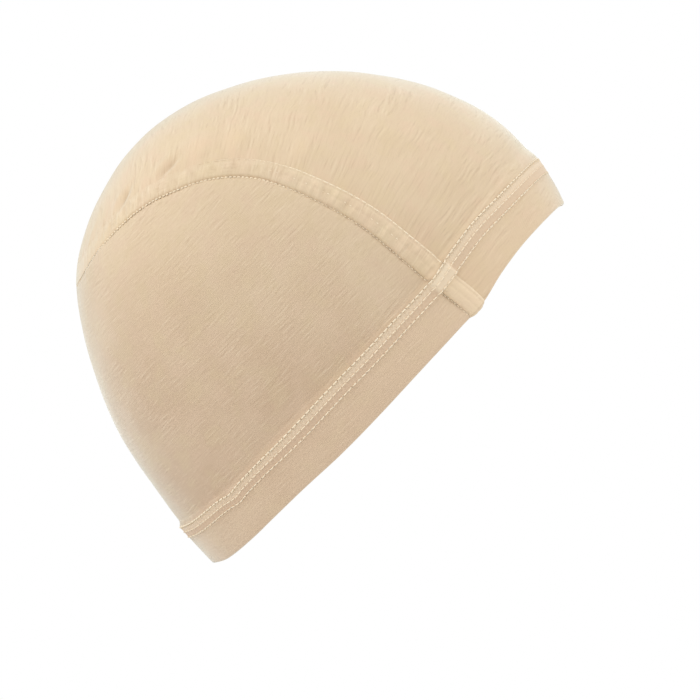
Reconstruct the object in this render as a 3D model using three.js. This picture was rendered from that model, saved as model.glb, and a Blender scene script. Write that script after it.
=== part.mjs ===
// A stretch-knit wig cap in the form it takes on a head: two jersey panels, the raised welt of
// the seam between them, the hem turned up inside the rim and the band of cover threads on it.
// Millimetres, +Z up, the wearer faces -Y. The origin is where the top of the head bears.
import * as THREE from "three";

// Head form that the cloth is stretched over, measured from a centre inside it
const headHalfLength = 93.5;
const headCrownRise = 83.6;
const headHalfBreadth = 74;
const headRoundness = 2.15; // 2 is an ellipse across the head, more is squarer
const roundnessGain = 0.18; // what the roundness gains toward the crown and loses at the nape
const breadthGain = 0.05; // the same for the breadth, as a share of it

// Rim: it lies near a plane that is lower at the nape than at the brow
const rimTilt = 45.6; // degrees
const rimDrop = 50.8; // from the head's centre to the plane
const rimSag = 4; // how far the rim hangs under the plane where the table says 1

// Cloth and the layers made of it
const clothThickness = 0.8;
const layerGap = 0.3;
const foldHeight = 1; // the part of the rim that is fold, under the panels' edges
const hemDepth = 18.8; // rim to the top of the band of cover threads
const hemStep = 2; // height over which the panels come in again above the hem
const threadBandThickness = 0.4;
const weltWidth = 7.4;
const weltThickness = 0.9;
const crossingRun = 2.6; // length of the slope where the threads climb the welt

// Reach of the head in its middle plane, as shares of the half length and crown rise.
// Rows are 20 degrees apart, from straight ahead over the crown to the back and round below.
const headProfile = [
  1.25, 1.197, 1.178, 1.107, 1.03, 0.966, 0.92, 0.863, 0.825,
  0.799, 0.795, 0.853, 0.975, 1.22, 1.46, 1.5, 1.46, 1.36,
];

// Rim and hem by bearing round the head, 0 at the brow and 180 at the nape.
// Columns: bearing, sag as a share of rimSag, depth as a share of hemDepth, and how high the
// band of cover threads starts as a share of the depth there.
const rimColumns = { bearing: 0, sag: 1, depth: 2, bandStart: 3 };
const rimTable = [
  [0, -0.15, 0.98, 0.66],
  [15, -0.45, 0.98, 0.66],
  [30, -0.45, 0.99, 0.67],
  [40, -0.05, 1.07, 0.69],
  [49, 0.62, 1.12, 0.7],
  [58, 0.72, 1.03, 0.71],
  [75, 0.85, 1.01, 0.7],
  [95, 1, 1.03, 0.71],
  [110, 1, 1.03, 0.71],
  [125, 0.8, 0.97, 0.72],
  [137, 0.75, 0.93, 0.72],
  [146, 0.75, 0.98, 0.73],
  [160, 0.55, 1, 0.73],
  [170, 0.15, 0.99, 0.73],
  [180, 0, 0.98, 0.73],
];

// Joint between the two panels, from below the rim at the temple to the middle of the back.
// Columns: bearing and elevation in degrees, seen from the head's centre, square to the rim.
const jointTable = [
  [53.6, -40],
  [54.8, -33.8],
  [56.8, -27.2],
  [58.2, -20],
  [59.4, -12],
  [60.6, -4],
  [62.2, 3.5],
  [64, 10.5],
  [66.3, 18],
  [69.2, 25],
  [73.5, 30.8],
  [79.5, 35.8],
  [87.5, 40],
  [97.5, 44],
  [109.5, 46.2],
  [127, 47],
  [145, 47],
  [163, 48.6],
  [180, 49.6],
];
const jointTurn = 9; // row of the table where the joint turns from going up to going back

// Soft ripples that the seam draws up in the crown panel, on each side.
// Columns: share of the way along the joint, distance from it and half length across it as
// shares of the welt's width, half width as a share of it too, rise as a share of the cloth.
const rippleTable = [
  [0.45, 2.1, 1.1, 0.6, 0.8],
  [0.56, 2.2, 1.2, 0.6, 1],
  [0.68, 2, 1, 0.7, 0.8],
];

// Gathers across the welt. Columns: share of the way along the joint, rise as a share of
// the welt's thickness.
const gatherTable = [
  [0.3, 0.22],
  [0.36, -0.2],
  [0.42, 0.25],
  [0.47, -0.22],
  [0.52, 0.28],
  [0.57, -0.25],
  [0.63, 0.2],
  [0.7, -0.15],
];
const gatherReach = 0.018; // half length of one gather, as a share of the joint

// Mesh detail, and the middle of the crown panel that its rings are drawn round
const frontColumnCount = 14;
const backColumnCount = 22;
const risingRowCount = 10;
const crownRingCount = 11;
const crownMiddleAngle = 52; // degrees of elevation straight over the brow

const colours = {
  crown: 0xe3cdac,
  side: 0xd9bfa0,
  welt: 0xe6d2b2,
  hem: 0xd8bd9f,
  thread: 0xf0e0c2,
};

const radians = (degrees) => (degrees * Math.PI) / 180;
const clampShare = (value) => Math.min(1, Math.max(0, value));
const smoothShare = (value) => clampShare(value) ** 2 * (3 - 2 * clampShare(value));
const mix = (from, to, share) => from + (to - from) * share;

// Smooth curve through a table's rows: the value of one column at x in the first column.
function readTable(rows, x, column) {
  const last = rows.length - 1;
  let k = 0;
  while (k < last - 1 && x > rows[k + 1][0]) k += 1;
  const slope = (row) => {
    const before = rows[Math.max(row - 1, 0)];
    const after = rows[Math.min(row + 1, last)];
    return (after[column] - before[column]) / (after[0] - before[0]);
  };
  const span = rows[k + 1][0] - rows[k][0];
  const t = clampShare((x - rows[k][0]) / span);
  const rise = t * t * (3 - 2 * t);
  const startPull = t * (1 - t) * (1 - t);
  const endPull = -t * t * (1 - t);
  return (
    mix(rows[k][column], rows[k + 1][column], rise) +
    span * (startPull * slope(k) + endPull * slope(k + 1))
  );
}

// Wave through evenly spaced rows round a full turn.
function readProfile(angle) {
  const n = headProfile.length;
  let sum = 0;
  headProfile.forEach((value, k) => {
    const x = angle - (2 * Math.PI * k) / n;
    const near = Math.abs(Math.sin(x / 2)) < 1e-9;
    sum += value * (near ? 1 : Math.sin((n * x) / 2) / (n * Math.tan(x / 2)));
  });
  return sum;
}

// The head's centre, placed so that the highest point of the head form is the origin.
function findCentre() {
  const height = (angle) => headCrownRise * readProfile(angle) * Math.sin(angle);
  let low = radians(50);
  let high = radians(130);
  for (let k = 0; k < 60; k += 1) {
    const third = (high - low) / 3;
    if (height(low + third) < height(high - third)) low += third;
    else high -= third;
  }
  const top = (low + high) / 2;
  return new THREE.Vector3(0, headHalfLength * readProfile(top) * Math.cos(top), -height(top));
}

const centre = findCentre();
const tilt = radians(rimTilt);
const rimForward = new THREE.Vector3(0, -Math.cos(tilt), Math.sin(tilt));
const rimUp = new THREE.Vector3(0, Math.sin(tilt), Math.cos(tilt));

// Unit direction from the centre. Bearings grow toward the wearer's right.
function directionAt(bearing, elevation) {
  const b = radians(bearing);
  const e = radians(elevation);
  return new THREE.Vector3(-Math.sin(b) * Math.cos(e), 0, 0)
    .addScaledVector(rimForward, Math.cos(b) * Math.cos(e))
    .addScaledVector(rimUp, Math.sin(e));
}

function bearingOf(direction) {
  return (Math.atan2(-direction.x, direction.dot(rimForward)) * 180) / Math.PI;
}

// Distance from the centre to the head form along a unit direction.
function reach(direction) {
  const ahead = -direction.y / headHalfLength;
  const up = direction.z / headCrownRise;
  const rise = direction.dot(rimUp);
  const middle = Math.hypot(ahead, up) / readProfile(Math.atan2(up, ahead));
  const across = Math.abs(direction.x) / (headHalfBreadth * (1 + breadthGain * rise));
  const power = headRoundness + roundnessGain * rise;
  return (middle ** power + across ** power) ** (-1 / power);
}

function headPoint(direction) {
  return direction.clone().multiplyScalar(reach(direction)).add(centre);
}

function outward(direction) {
  const side = new THREE.Vector3(-direction.y, direction.x, 0);
  if (side.lengthSq() < 1e-6) side.set(1, 0, 0);
  side.normalize();
  const other = direction.clone().cross(side).normalize();
  const step = 1e-3;
  const probe = (axis, amount) =>
    headPoint(direction.clone().addScaledVector(axis, amount).normalize());
  const alongSide = probe(side, step).sub(probe(side, -step));
  const alongOther = probe(other, step).sub(probe(other, -step));
  const normal = alongSide.cross(alongOther).normalize();
  return normal.dot(direction) < 0 ? normal.negate() : normal;
}

function lifted(direction, lift) {
  return headPoint(direction).addScaledVector(outward(direction), lift);
}

const rimRead = (bearing, name) => readTable(rimTable, Math.abs(bearing), rimColumns[name]);

// Height over the rim, square to the rim plane, and the same as a share of the hem's depth.
function heightOf(direction) {
  const over = direction.dot(rimUp) * reach(direction) + rimDrop;
  return over + rimSag * rimRead(bearingOf(direction), "sag");
}

function hemShareOf(direction) {
  return heightOf(direction) / (hemDepth * rimRead(bearingOf(direction), "depth"));
}

// Direction with a given bearing whose height is a share of the hem's depth, plus some mm.
function hemDirection(bearing, share, extra = 0) {
  const wanted = share * hemDepth * rimRead(bearing, "depth") + extra;
  let low = -65;
  let high = 60;
  for (let k = 0; k < 40; k += 1) {
    const middle = (low + high) / 2;
    if (heightOf(directionAt(bearing, middle)) < wanted) low = middle;
    else high = middle;
  }
  return directionAt(bearing, (low + high) / 2);
}

// The joint as a path: along runs from 0 under the rim at the right temple to 1 at the back.
const jointRows = jointTable.map((row, k) => [k / (jointTable.length - 1), ...row]);

function jointDirection(along) {
  return directionAt(readTable(jointRows, along, 1), readTable(jointRows, along, 2));
}

const turnShare = jointTurn / (jointTable.length - 1);

function jointAtHem(share, extra = 0) {
  let low = 0;
  let high = turnShare;
  for (let k = 0; k < 40; k += 1) {
    const middle = (low + high) / 2;
    const direction = jointDirection(middle);
    const depth = hemDepth * rimRead(bearingOf(direction), "depth");
    if (heightOf(direction) < share * depth + extra) low = middle;
    else high = middle;
  }
  return (low + high) / 2;
}

const mirrored = (direction) => new THREE.Vector3(-direction.x, direction.y, direction.z);

// A step sideways from the joint, toward the crown when positive.
function besideJoint(along, distance) {
  const step = 1e-3;
  const from = jointDirection(Math.max(along - step, 0));
  const to = jointDirection(Math.min(along + step, 1));
  if (along > 1 - step) to.copy(mirrored(from));
  const here = jointDirection(along);
  const forward = headPoint(to).sub(headPoint(from)).normalize();
  const aside = forward.cross(outward(here)).normalize();
  return headPoint(here).addScaledVector(aside, distance).sub(centre).normalize();
}

// How far the panels stand off the head: over the turned hem they ride on its inner layer,
// and beside the seam they have a few ripples.
const hemLift = clothThickness + layerGap;

const ripples = rippleTable.map(([along, distance, halfLength, halfWidth, rise]) => ({
  from: headPoint(jointDirection(along)),
  middle: headPoint(besideJoint(along, distance * weltWidth)),
  halfLength: halfLength * weltWidth,
  halfWidth: halfWidth * weltWidth,
  rise: rise * clothThickness,
}));

function rippleLift(direction) {
  const here = headPoint(direction.x > 0 ? mirrored(direction) : direction);
  let lift = 0;
  for (const ripple of ripples) {
    const across = ripple.middle.clone().sub(ripple.from).normalize();
    const offset = here.clone().sub(ripple.middle);
    const run = offset.dot(across);
    const aside = Math.sqrt(Math.max(offset.lengthSq() - run * run, 0));
    lift += ripple.rise * Math.exp(-((run / ripple.halfLength) ** 2) - (aside / ripple.halfWidth) ** 2);
  }
  return lift;
}

function panelLift(direction) {
  const above = (hemShareOf(direction) - 1) * hemDepth;
  return hemLift * (1 - smoothShare(above / hemStep)) + rippleLift(direction);
}

const onPanel = (direction) => panelLift(direction) + clothThickness + layerGap;

// Bearing of the joint where it is at a share of the hem's depth plus some mm.
const jointBearing = (share, extra) => bearingOf(jointDirection(jointAtHem(share, extra)));

// Degrees of bearing that a distance along the hem takes up at a place.
function bearingStep(direction, distance) {
  const radius = reach(direction) * Math.sqrt(1 - direction.dot(rimUp) ** 2);
  return (distance / radius) * (180 / Math.PI);
}

// A place in the hem. Round runs from 0 at the brow to 1 at the joint and 2 at the nape;
// inset moves the joint toward the brow, to leave room between two panels.
function hemPlace(round, share, extra = 0, inset = 0) {
  const joint = jointBearing(share, extra);
  const edge = joint - bearingStep(hemDirection(joint, share, extra), inset);
  const bearing = round <= 1 ? round * edge : mix(edge, 180, round - 1);
  return hemDirection(bearing, share, extra);
}

const spread = (from, to, count) =>
  Array.from({ length: count + 1 }, (_, k) => mix(from, to, k / count));

// Places along the joint that are evenly spaced on the head.
function evenAlong(from, to, count) {
  const fine = spread(from, to, 240);
  const points = fine.map((along) => headPoint(jointDirection(along)));
  const run = [0];
  for (let k = 1; k < points.length; k += 1) run.push(run[k - 1] + points[k].distanceTo(points[k - 1]));
  return spread(0, run[run.length - 1], count).map((wanted) => {
    let k = 0;
    while (k < run.length - 2 && run[k + 1] < wanted) k += 1;
    return mix(fine[k], fine[k + 1], clampShare((wanted - run[k]) / (run[k + 1] - run[k])));
  });
}

// A closed shell of cloth over grids of directions. Grids share the points on their common
// edges; each direction becomes a point on the inner and one on the outer face.
class ClothShell {
  constructor(liftOf) {
    this.liftOf = liftOf;
    this.index = new Map();
    this.directions = [];
    this.faces = [];
  }

  vertex(direction) {
    const key = direction.toArray().map((value) => Math.round(value * 1e5)).join();
    if (!this.index.has(key)) {
      this.index.set(key, this.directions.length);
      this.directions.push(direction);
    }
    return this.index.get(key);
  }

  triangle(a, b, c) {
    if (a === b || b === c || a === c) return;
    const [p, q, r] = [a, b, c].map((k) => this.directions[k]);
    const turn = q.clone().sub(p).cross(r.clone().sub(p)).dot(p);
    this.faces.push(turn > 0 ? [a, b, c] : [a, c, b]);
  }

  addGrid(rows) {
    for (let i = 0; i + 1 < rows.length; i += 1) {
      for (let j = 0; j + 1 < rows[i].length; j += 1) {
        const a = this.vertex(rows[i][j]);
        const b = this.vertex(rows[i][j + 1]);
        const c = this.vertex(rows[i + 1][j + 1]);
        const d = this.vertex(rows[i + 1][j]);
        this.triangle(a, b, c);
        this.triangle(a, c, d);
      }
    }
  }

  addBothSides(rows) {
    this.addGrid(rows);
    this.addGrid(rows.map((row) => row.map(mirrored)));
  }

  geometry() {
    const count = this.directions.length;
    const lifts = this.directions.map(this.liftOf);
    const outer = this.directions.map((d, k) => lifted(d, lifts[k] + clothThickness));
    const inner = this.directions.map((d, k) => lifted(d, lifts[k]));
    const edges = new Set(this.faces.flatMap(([a, b, c]) => [`${a},${b}`, `${b},${c}`, `${c},${a}`]));
    const triangles = [];
    for (const [a, b, c] of this.faces) {
      triangles.push(a, b, c, a + count, c + count, b + count);
      for (const [p, q] of [[a, b], [b, c], [c, a]]) {
        if (!edges.has(`${q},${p}`)) triangles.push(q, p, p + count, q, p + count, q + count);
      }
    }
    return meshGeometry([...outer, ...inner], triangles);
  }
}

function meshGeometry(points, triangles) {
  const geometry = new THREE.BufferGeometry();
  const positions = points.flatMap((point) => point.toArray());
  geometry.setAttribute("position", new THREE.Float32BufferAttribute(positions, 3));
  geometry.setIndex(triangles);
  geometry.computeVertexNormals();
  return geometry;
}

const mirroredSection = (section) => section.map(mirrored);

// A solid strip through the right side's sections and then their mirror images, closed into a
// ring or capped at both ends. All sections have the same number of points. The left half's
// faces are split the other way, like the panels', and the winding is put right at the end.
function stripGeometry(right, ring) {
  const left = right.slice(ring ? 1 : 0, -1).reverse().map(mirroredSection);
  const sections = [...right, ...left];
  const size = sections[0].length;
  const points = sections.flat();
  const triangles = [];
  const pairs = ring ? sections.length : sections.length - 1;
  for (let i = 0; i < pairs; i += 1) {
    const here = i * size;
    const next = ((i + 1) % sections.length) * size;
    for (let j = 0; j < size; j += 1) {
      const k = (j + 1) % size;
      if (i < right.length - 1) {
        triangles.push(here + j, next + j, next + k, here + j, next + k, here + k);
      } else {
        triangles.push(here + j, next + j, here + k, next + j, next + k, here + k);
      }
    }
  }
  if (!ring) {
    const last = points.length - size;
    for (let j = 1; j + 1 < size; j += 1) {
      triangles.push(0, j, j + 1, last, last + j + 1, last + j);
    }
  }
  let volume = 0;
  for (let k = 0; k < triangles.length; k += 3) {
    const [a, b, c] = [0, 1, 2].map((n) => points[triangles[k + n]]);
    volume += a.dot(b.clone().cross(c));
  }
  return meshGeometry(points, volume > 0 ? triangles : triangles.reverse());
}

const frontRounds = spread(0, 1, frontColumnCount);
const backRounds = spread(1, 2, backColumnCount);
const panelInset = layerGap / 2;

// Rows of the panels in the hem, as a share of its depth and some mm over that.
const hemRows = [
  [0, foldHeight + layerGap],
  [0.5, 0],
  [1, 0],
  [1, hemStep],
];
const stepTop = jointAtHem(1, hemStep);
const risingJoint = evenAlong(stepTop, turnShare, risingRowCount);
const backJoint = evenAlong(turnShare, 1, backColumnCount);

function crownPanel() {
  const shell = new ClothShell(panelLift);
  const apron = hemRows.map(([share, extra]) =>
    frontRounds.map((round) => hemPlace(round, share, extra, panelInset)));
  shell.addBothSides(apron);
  const joint = [...risingJoint, ...backJoint.slice(1)].slice(1);
  const edge = [
    ...apron[apron.length - 1],
    ...joint.map((along) => besideJoint(along, panelInset)),
  ];
  const middle = directionAt(0, crownMiddleAngle);
  const rings = spread(0, 1, crownRingCount).map((share) =>
    edge.map((place) => middle.clone().lerp(place, share).normalize()));
  shell.addBothSides(rings);
  return shell.geometry();
}

function sidePanel() {
  const shell = new ClothShell(panelLift);
  const skirt = hemRows.map(([share, extra]) =>
    backRounds.map((round) => hemPlace(round, share, extra, -panelInset)));
  shell.addBothSides(skirt);
  const low = skirt[skirt.length - 1];
  const front = risingJoint.map((along) => besideJoint(along, -panelInset));
  front[0] = low[0];
  const top = backJoint.map((along) => besideJoint(along, -panelInset));
  top[0] = front[front.length - 1];
  const corner = (a, b, share) => a.clone().lerp(b, share).normalize();
  const back = spread(0, 1, risingRowCount).map((share) =>
    corner(low[low.length - 1], top[top.length - 1], share));
  const grid = front.map((left, row) => {
    const rise = row / risingRowCount;
    return low.map((bottom, column) => {
      const round = column / backColumnCount;
      const place = new THREE.Vector3()
        .addScaledVector(bottom, 1 - rise)
        .addScaledVector(top[column], rise)
        .addScaledVector(left, 1 - round)
        .addScaledVector(back[row], round)
        .addScaledVector(low[0], -(1 - round) * (1 - rise))
        .addScaledVector(low[low.length - 1], -round * (1 - rise))
        .addScaledVector(top[0], -(1 - round) * rise)
        .addScaledVector(top[top.length - 1], -round * rise);
      return place.normalize();
    });
  });
  shell.addBothSides(grid);
  return shell.geometry();
}

// Hem: a foot as thick as both layers under the panels' edges, and the layer turned up inside.
function hemBand() {
  const standOff = hemLift + clothThickness;
  const corner = 0.3 * foldHeight;
  const sectionAt = (round) => {
    const at = (share, extra, lift) => lifted(hemPlace(round, share, extra), lift);
    return [
      at(0, 0, corner),
      at(0, 0, standOff - corner),
      at(0, corner, standOff),
      at(0, foldHeight, standOff),
      at(0, foldHeight, clothThickness),
      at(0.5, 0, clothThickness),
      at(1, -layerGap, clothThickness),
      at(1, -layerGap, 0),
      at(0.5, 0, 0),
      at(0, corner, 0),
    ];
  };
  return stripGeometry([...frontRounds, ...backRounds.slice(1)].map(sectionAt), true);
}

// Height that the welt adds under the cover threads, sloping down on both sides of it.
function weltCover(direction, share) {
  const joint = jointBearing(share, 0);
  const aside = (joint - Math.abs(bearingOf(direction))) / bearingStep(direction, 1);
  const before = (aside + layerGap + crossingRun) / crossingRun;
  const after = (weltWidth + layerGap + crossingRun - aside) / crossingRun;
  return (weltThickness + layerGap) * smoothShare(before) * smoothShare(after);
}

function hemCoverstitch() {
  const atJoint = hemPlace(1, 0.85);
  const frontLength = (1 / bearingStep(atJoint, 1)) * bearingOf(atJoint);
  const backLength = (1 / bearingStep(atJoint, 1)) * (180 - bearingOf(atJoint));
  const front = [weltWidth / 2, weltWidth + layerGap, weltWidth + layerGap + crossingRun / 2]
    .concat(weltWidth + layerGap + crossingRun)
    .map((distance) => 1 - distance / frontLength);
  const back = [layerGap, layerGap + crossingRun / 2, layerGap + crossingRun]
    .map((distance) => 1 + distance / backLength);
  const extra = [...front, ...back];
  const crowded = (round) => extra.some((other) => Math.abs(other - round) < 0.25 / frontColumnCount);
  const plain = [...frontRounds, ...backRounds.slice(1)].filter((round) => round === 1 || !crowded(round));
  const rounds = [...plain, ...extra].sort((a, b) => a - b);
  const sectionAt = (round) => {
    const at = (share, thickness) => {
      const direction = hemPlace(round, share);
      return lifted(direction, onPanel(direction) + weltCover(direction, share) + thickness);
    };
    const start = rimRead(bearingOf(hemPlace(round, 0.7)), "bandStart");
    const shares = [start, mix(start, 1, 0.5), 1];
    return [
      ...shares.map((share) => at(share, 0)),
      at(1, 0.8 * threadBandThickness),
      at(shares[1], threadBandThickness),
      at(start, 0.8 * threadBandThickness),
    ];
  };
  return stripGeometry(rounds.map(sectionAt), true);
}

function gatherRise(along) {
  let rise = 0;
  for (const [middle, share] of gatherTable) {
    rise += share * Math.exp(-(((along - middle) / gatherReach) ** 2));
  }
  return rise;
}

// Welt: a strip on the crown side of the joint, level with the hem's rows near the rim.
function seamWelt() {
  const bevel = weltThickness;
  const rows = [
    [0, 0.2 * foldHeight],
    [0, foldHeight + layerGap],
    [0.25, 0],
    [0.5, 0],
    [0.75, 0],
    [1, 0],
    [1, hemStep / 2],
    [1, hemStep],
  ];
  const low = rows.map(([share, extra]) => ({ share, extra, along: jointAtHem(share, extra) }));
  const high = evenAlong(stepTop, 1, 64).slice(1).map((along) => ({ along }));
  const sectionAt = ({ share, extra, along }) => {
    const level = share !== undefined;
    const joint = jointDirection(along);
    const place = (distance) => {
      const square = besideJoint(along, distance);
      if (level) {
        return hemDirection(bearingOf(joint) - bearingStep(joint, distance), share, extra);
      }
      const turned = smoothShare((heightOf(joint) - hemDepth - hemStep) / (2 * weltWidth));
      const bearing = bearingOf(joint) - bearingStep(joint, distance);
      const flat = hemDirection(bearing, 0, heightOf(joint));
      return turned > 0.99 ? square : flat.lerp(square, turned).normalize();
    };
    const at = (distance, thickness) => {
      const direction = place(distance);
      return lifted(direction, onPanel(direction) + thickness);
    };
    const top = weltThickness * (1 + gatherRise(along));
    return [
      at(0, 0),
      at(weltWidth, 0),
      at(weltWidth, top / 2),
      at(weltWidth - bevel, top),
      at(bevel, top),
      at(0, top / 2),
    ];
  };
  return stripGeometry([...low, ...high].map(sectionAt), false);
}

function addMesh(group, name, geometry, colour) {
  const material = new THREE.MeshStandardMaterial({ color: colour, roughness: 0.9 });
  material.name = name;
  const mesh = new THREE.Mesh(geometry, material);
  mesh.name = name;
  group.add(mesh);
}

const cap = new THREE.Group();
cap.name = "wig_cap";
addMesh(cap, "crown_panel", crownPanel(), colours.crown);
addMesh(cap, "side_panel", sidePanel(), colours.side);
addMesh(cap, "seam_welt", seamWelt(), colours.welt);
addMesh(cap, "hem_band", hemBand(), colours.hem);
addMesh(cap, "hem_coverstitch", hemCoverstitch(), colours.thread);

export default cap;
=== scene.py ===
import math

import bpy
import numpy as np
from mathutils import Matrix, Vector


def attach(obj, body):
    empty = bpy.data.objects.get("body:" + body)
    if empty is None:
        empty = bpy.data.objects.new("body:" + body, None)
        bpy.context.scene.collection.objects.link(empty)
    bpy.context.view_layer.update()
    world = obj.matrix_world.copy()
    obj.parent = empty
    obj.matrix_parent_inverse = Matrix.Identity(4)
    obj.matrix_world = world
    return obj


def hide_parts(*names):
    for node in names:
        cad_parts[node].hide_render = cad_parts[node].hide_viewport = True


# A stretch-knit wig cap in the form it takes on a head. Lengths below are millimetres and angles
# degrees until makePiece writes a mesh in metres. +Z is up and the wearer faces -Y.
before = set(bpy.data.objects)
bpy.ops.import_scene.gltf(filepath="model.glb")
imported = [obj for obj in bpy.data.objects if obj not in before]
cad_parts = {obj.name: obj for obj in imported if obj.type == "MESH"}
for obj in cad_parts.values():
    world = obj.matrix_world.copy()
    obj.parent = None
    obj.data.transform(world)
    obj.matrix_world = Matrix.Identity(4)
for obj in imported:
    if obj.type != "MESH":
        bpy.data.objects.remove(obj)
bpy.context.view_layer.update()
print("frame loaded")


# Head form and the lines of the cap, the same as in the CAD part.

headForm = {
    "halfLength": 93.5,
    "crownRise": 83.6,
    "halfBreadth": 74,
    "roundness": 2.15,
    "roundnessGain": 0.18,
    "breadthGain": 0.05,
    "centre": (0, 18.43338, -84.81285),
    "profile": [  # every 20 degrees from straight ahead over the crown
        1.25, 1.197, 1.178, 1.107, 1.03, 0.966, 0.92, 0.863, 0.825,
        0.799, 0.795, 0.853, 0.975, 1.22, 1.46, 1.5, 1.46, 1.36,
    ],
}

rim = {
    "tilt": 45.6,
    "drop": 50.8,
    "sag": 4,
    "table": [  # bearing, sag, depth of the hem, start of the band of threads, as shares
        (0, -0.15, 0.98, 0.66), (15, -0.45, 0.98, 0.66), (30, -0.45, 0.99, 0.67),
        (40, -0.05, 1.07, 0.69), (49, 0.62, 1.12, 0.7), (58, 0.72, 1.03, 0.71),
        (75, 0.85, 1.01, 0.7), (95, 1, 1.03, 0.71), (110, 1, 1.03, 0.71),
        (125, 0.8, 0.97, 0.72), (137, 0.75, 0.93, 0.72), (146, 0.75, 0.98, 0.73),
        (160, 0.55, 1, 0.73), (170, 0.15, 0.99, 0.73), (180, 0, 0.98, 0.73),
    ],
}

cloth = {
    "thickness": 0.8,
    "gap": 0.3,  # air between two layers
    "hemDepth": 18.8,
    "hemStep": 2,  # height over which the panels come in above the turned hem
    "browClimb": 5,  # added to it at the brow, where the cloth is stretched
    "browReach": 45,  # bearing where that ends
    "foldTail": 3,  # how far the panels run up inside the rim
}

# Joint of the two panels: bearing and elevation from below the rim to the middle of the back
jointTable = [
    (53.6, -40), (54.8, -33.8), (56.8, -27.2), (58.2, -20), (59.4, -12), (60.6, -4), (62.2, 3.5),
    (64, 10.5), (66.3, 18), (69.2, 25), (73.5, 30.8), (79.5, 35.8), (87.5, 40), (97.5, 44),
    (109.5, 46.2), (127, 47), (145, 47), (163, 48.6), (180, 49.6),
]
jointTurn = 9  # row where it turns from going up to going back
turnShare = jointTurn / (len(jointTable) - 1)

headCentre = np.array(headForm["centre"], float)
tilt = math.radians(rim["tilt"])
rimForward = np.array([0, -math.cos(tilt), math.sin(tilt)])
rimUp = np.array([0, math.sin(tilt), math.cos(tilt)])
hemLift = cloth["thickness"] + cloth["gap"]
shortStep = 1e-3  # for slopes, as a share of the head or of the joint
halvings = 30


# 0 up to 0, 1 from 1 on, and t*t*(3 - 2t) between.
def smooth(value):
    t = np.clip(value, 0, 1)
    return t * t * (3 - 2 * t)


# Vectors divided by their length.
def unit(vectors):
    return vectors / np.linalg.norm(vectors, axis=-1, keepdims=True)


# Cubic through a table's rows. On each span y = mix(y0, y1, t*t*(3 - 2t)) + span*(t*(1-t)^2*m0 -
# t*t*(1-t)*m1), where a row's slope m is taken between its neighbours.
def readTable(rows, x, column):
    table = np.array(rows, float)
    xs, ys = table[:, 0], table[:, column]
    row = np.arange(len(xs))
    before, after = np.maximum(row - 1, 0), np.minimum(row + 1, len(xs) - 1)
    slope = (ys[after] - ys[before]) / (xs[after] - xs[before])
    k = np.clip(np.searchsorted(xs, x, side="right") - 1, 0, len(xs) - 2)
    span = xs[k + 1] - xs[k]
    t = np.clip((x - xs[k]) / span, 0, 1)
    pull = span * (t * (1 - t) ** 2 * slope[k] - t * t * (1 - t) * slope[k + 1])
    return ys[k] + (ys[k + 1] - ys[k]) * smooth(t) + pull


# Wave through n evenly spaced values: the sum of value_k * sin(n*x/2) / (n * tan(x/2)), where
# x = angle - 2*pi*k/n.
def readProfile(angle):
    values = np.array(headForm["profile"])
    n = len(values)
    x = np.asarray(angle)[..., None] - 2 * math.pi * np.arange(n) / n
    near = np.abs(np.sin(x / 2)) < 1e-9
    wave = np.where(near, 1, np.sin(n * x / 2) / (n * np.tan(np.where(near, 1, x) / 2)))
    return wave @ values


# Unit vector from the head's centre: -x*sin(b)*cos(e) + forward*cos(b)*cos(e) + up*sin(e).
def directionAt(bearing, elevation):
    b, e = np.broadcast_arrays(np.radians(bearing), np.radians(elevation))
    b, e = b[..., None], e[..., None]
    ahead = rimForward * np.cos(b) * np.cos(e)
    return np.array([-1.0, 0, 0]) * np.sin(b) * np.cos(e) + ahead + rimUp * np.sin(e)


# Bearing in degrees: the angle whose tangent is the part to the right over the part ahead.
def bearingOf(direction):
    return np.degrees(np.arctan2(-direction[..., 0], direction @ rimForward))


# Distance to the head form: (middle^p + across^p)^(-1/p), where middle and across are the
# direction's reach in the middle plane and across it, as shares of the head there.
def reach(direction):
    ahead = -direction[..., 1] / headForm["halfLength"]
    up = direction[..., 2] / headForm["crownRise"]
    rise = direction @ rimUp
    middle = np.hypot(ahead, up) / readProfile(np.arctan2(up, ahead))
    breadth = headForm["halfBreadth"] * (1 + headForm["breadthGain"] * rise)
    power = headForm["roundness"] + headForm["roundnessGain"] * rise
    across = np.abs(direction[..., 0]) / breadth
    return (np.maximum(middle, 1e-9) ** power + across ** power) ** (-1 / power)


# Centre + direction * distance to the head form.
def headPoint(direction):
    return headCentre + direction * reach(direction)[..., None]


# The head form's normal: the cross product of two short steps on it, turned outwards.
def outward(direction):
    side = np.stack([-direction[..., 1], direction[..., 0], np.zeros(direction.shape[:-1])], -1)
    flat = np.linalg.norm(side, axis=-1, keepdims=True) < 1e-3
    side = unit(np.where(flat, np.array([1.0, 0, 0]), side))
    other = unit(np.cross(direction, side))
    run = [
        headPoint(unit(direction + shortStep * a)) - headPoint(unit(direction - shortStep * a))
        for a in (side, other)]
    normal = unit(np.cross(run[0], run[1]))
    facing = np.sum(normal * direction, -1, keepdims=True)
    return np.where(facing < 0, -normal, normal)


# Head point + normal * lift.
def lifted(direction, lift):
    return headPoint(direction) + outward(direction) * np.asarray(lift)[..., None]


# A column of the rim's table, the same on both sides.
def rimRead(bearing, column):
    return readTable(rim["table"], np.abs(bearing), column)


# Height over the rim, square to its plane: up-part of the head point + drop + sag * table.
def heightOf(direction):
    over = (direction @ rimUp) * reach(direction) + rim["drop"]
    return over + rim["sag"] * rimRead(bearingOf(direction), 1)


# Depth of the hem: its depth at the side * the table's share.
def hemDepthAt(bearing):
    return cloth["hemDepth"] * rimRead(bearing, 2)


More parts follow.
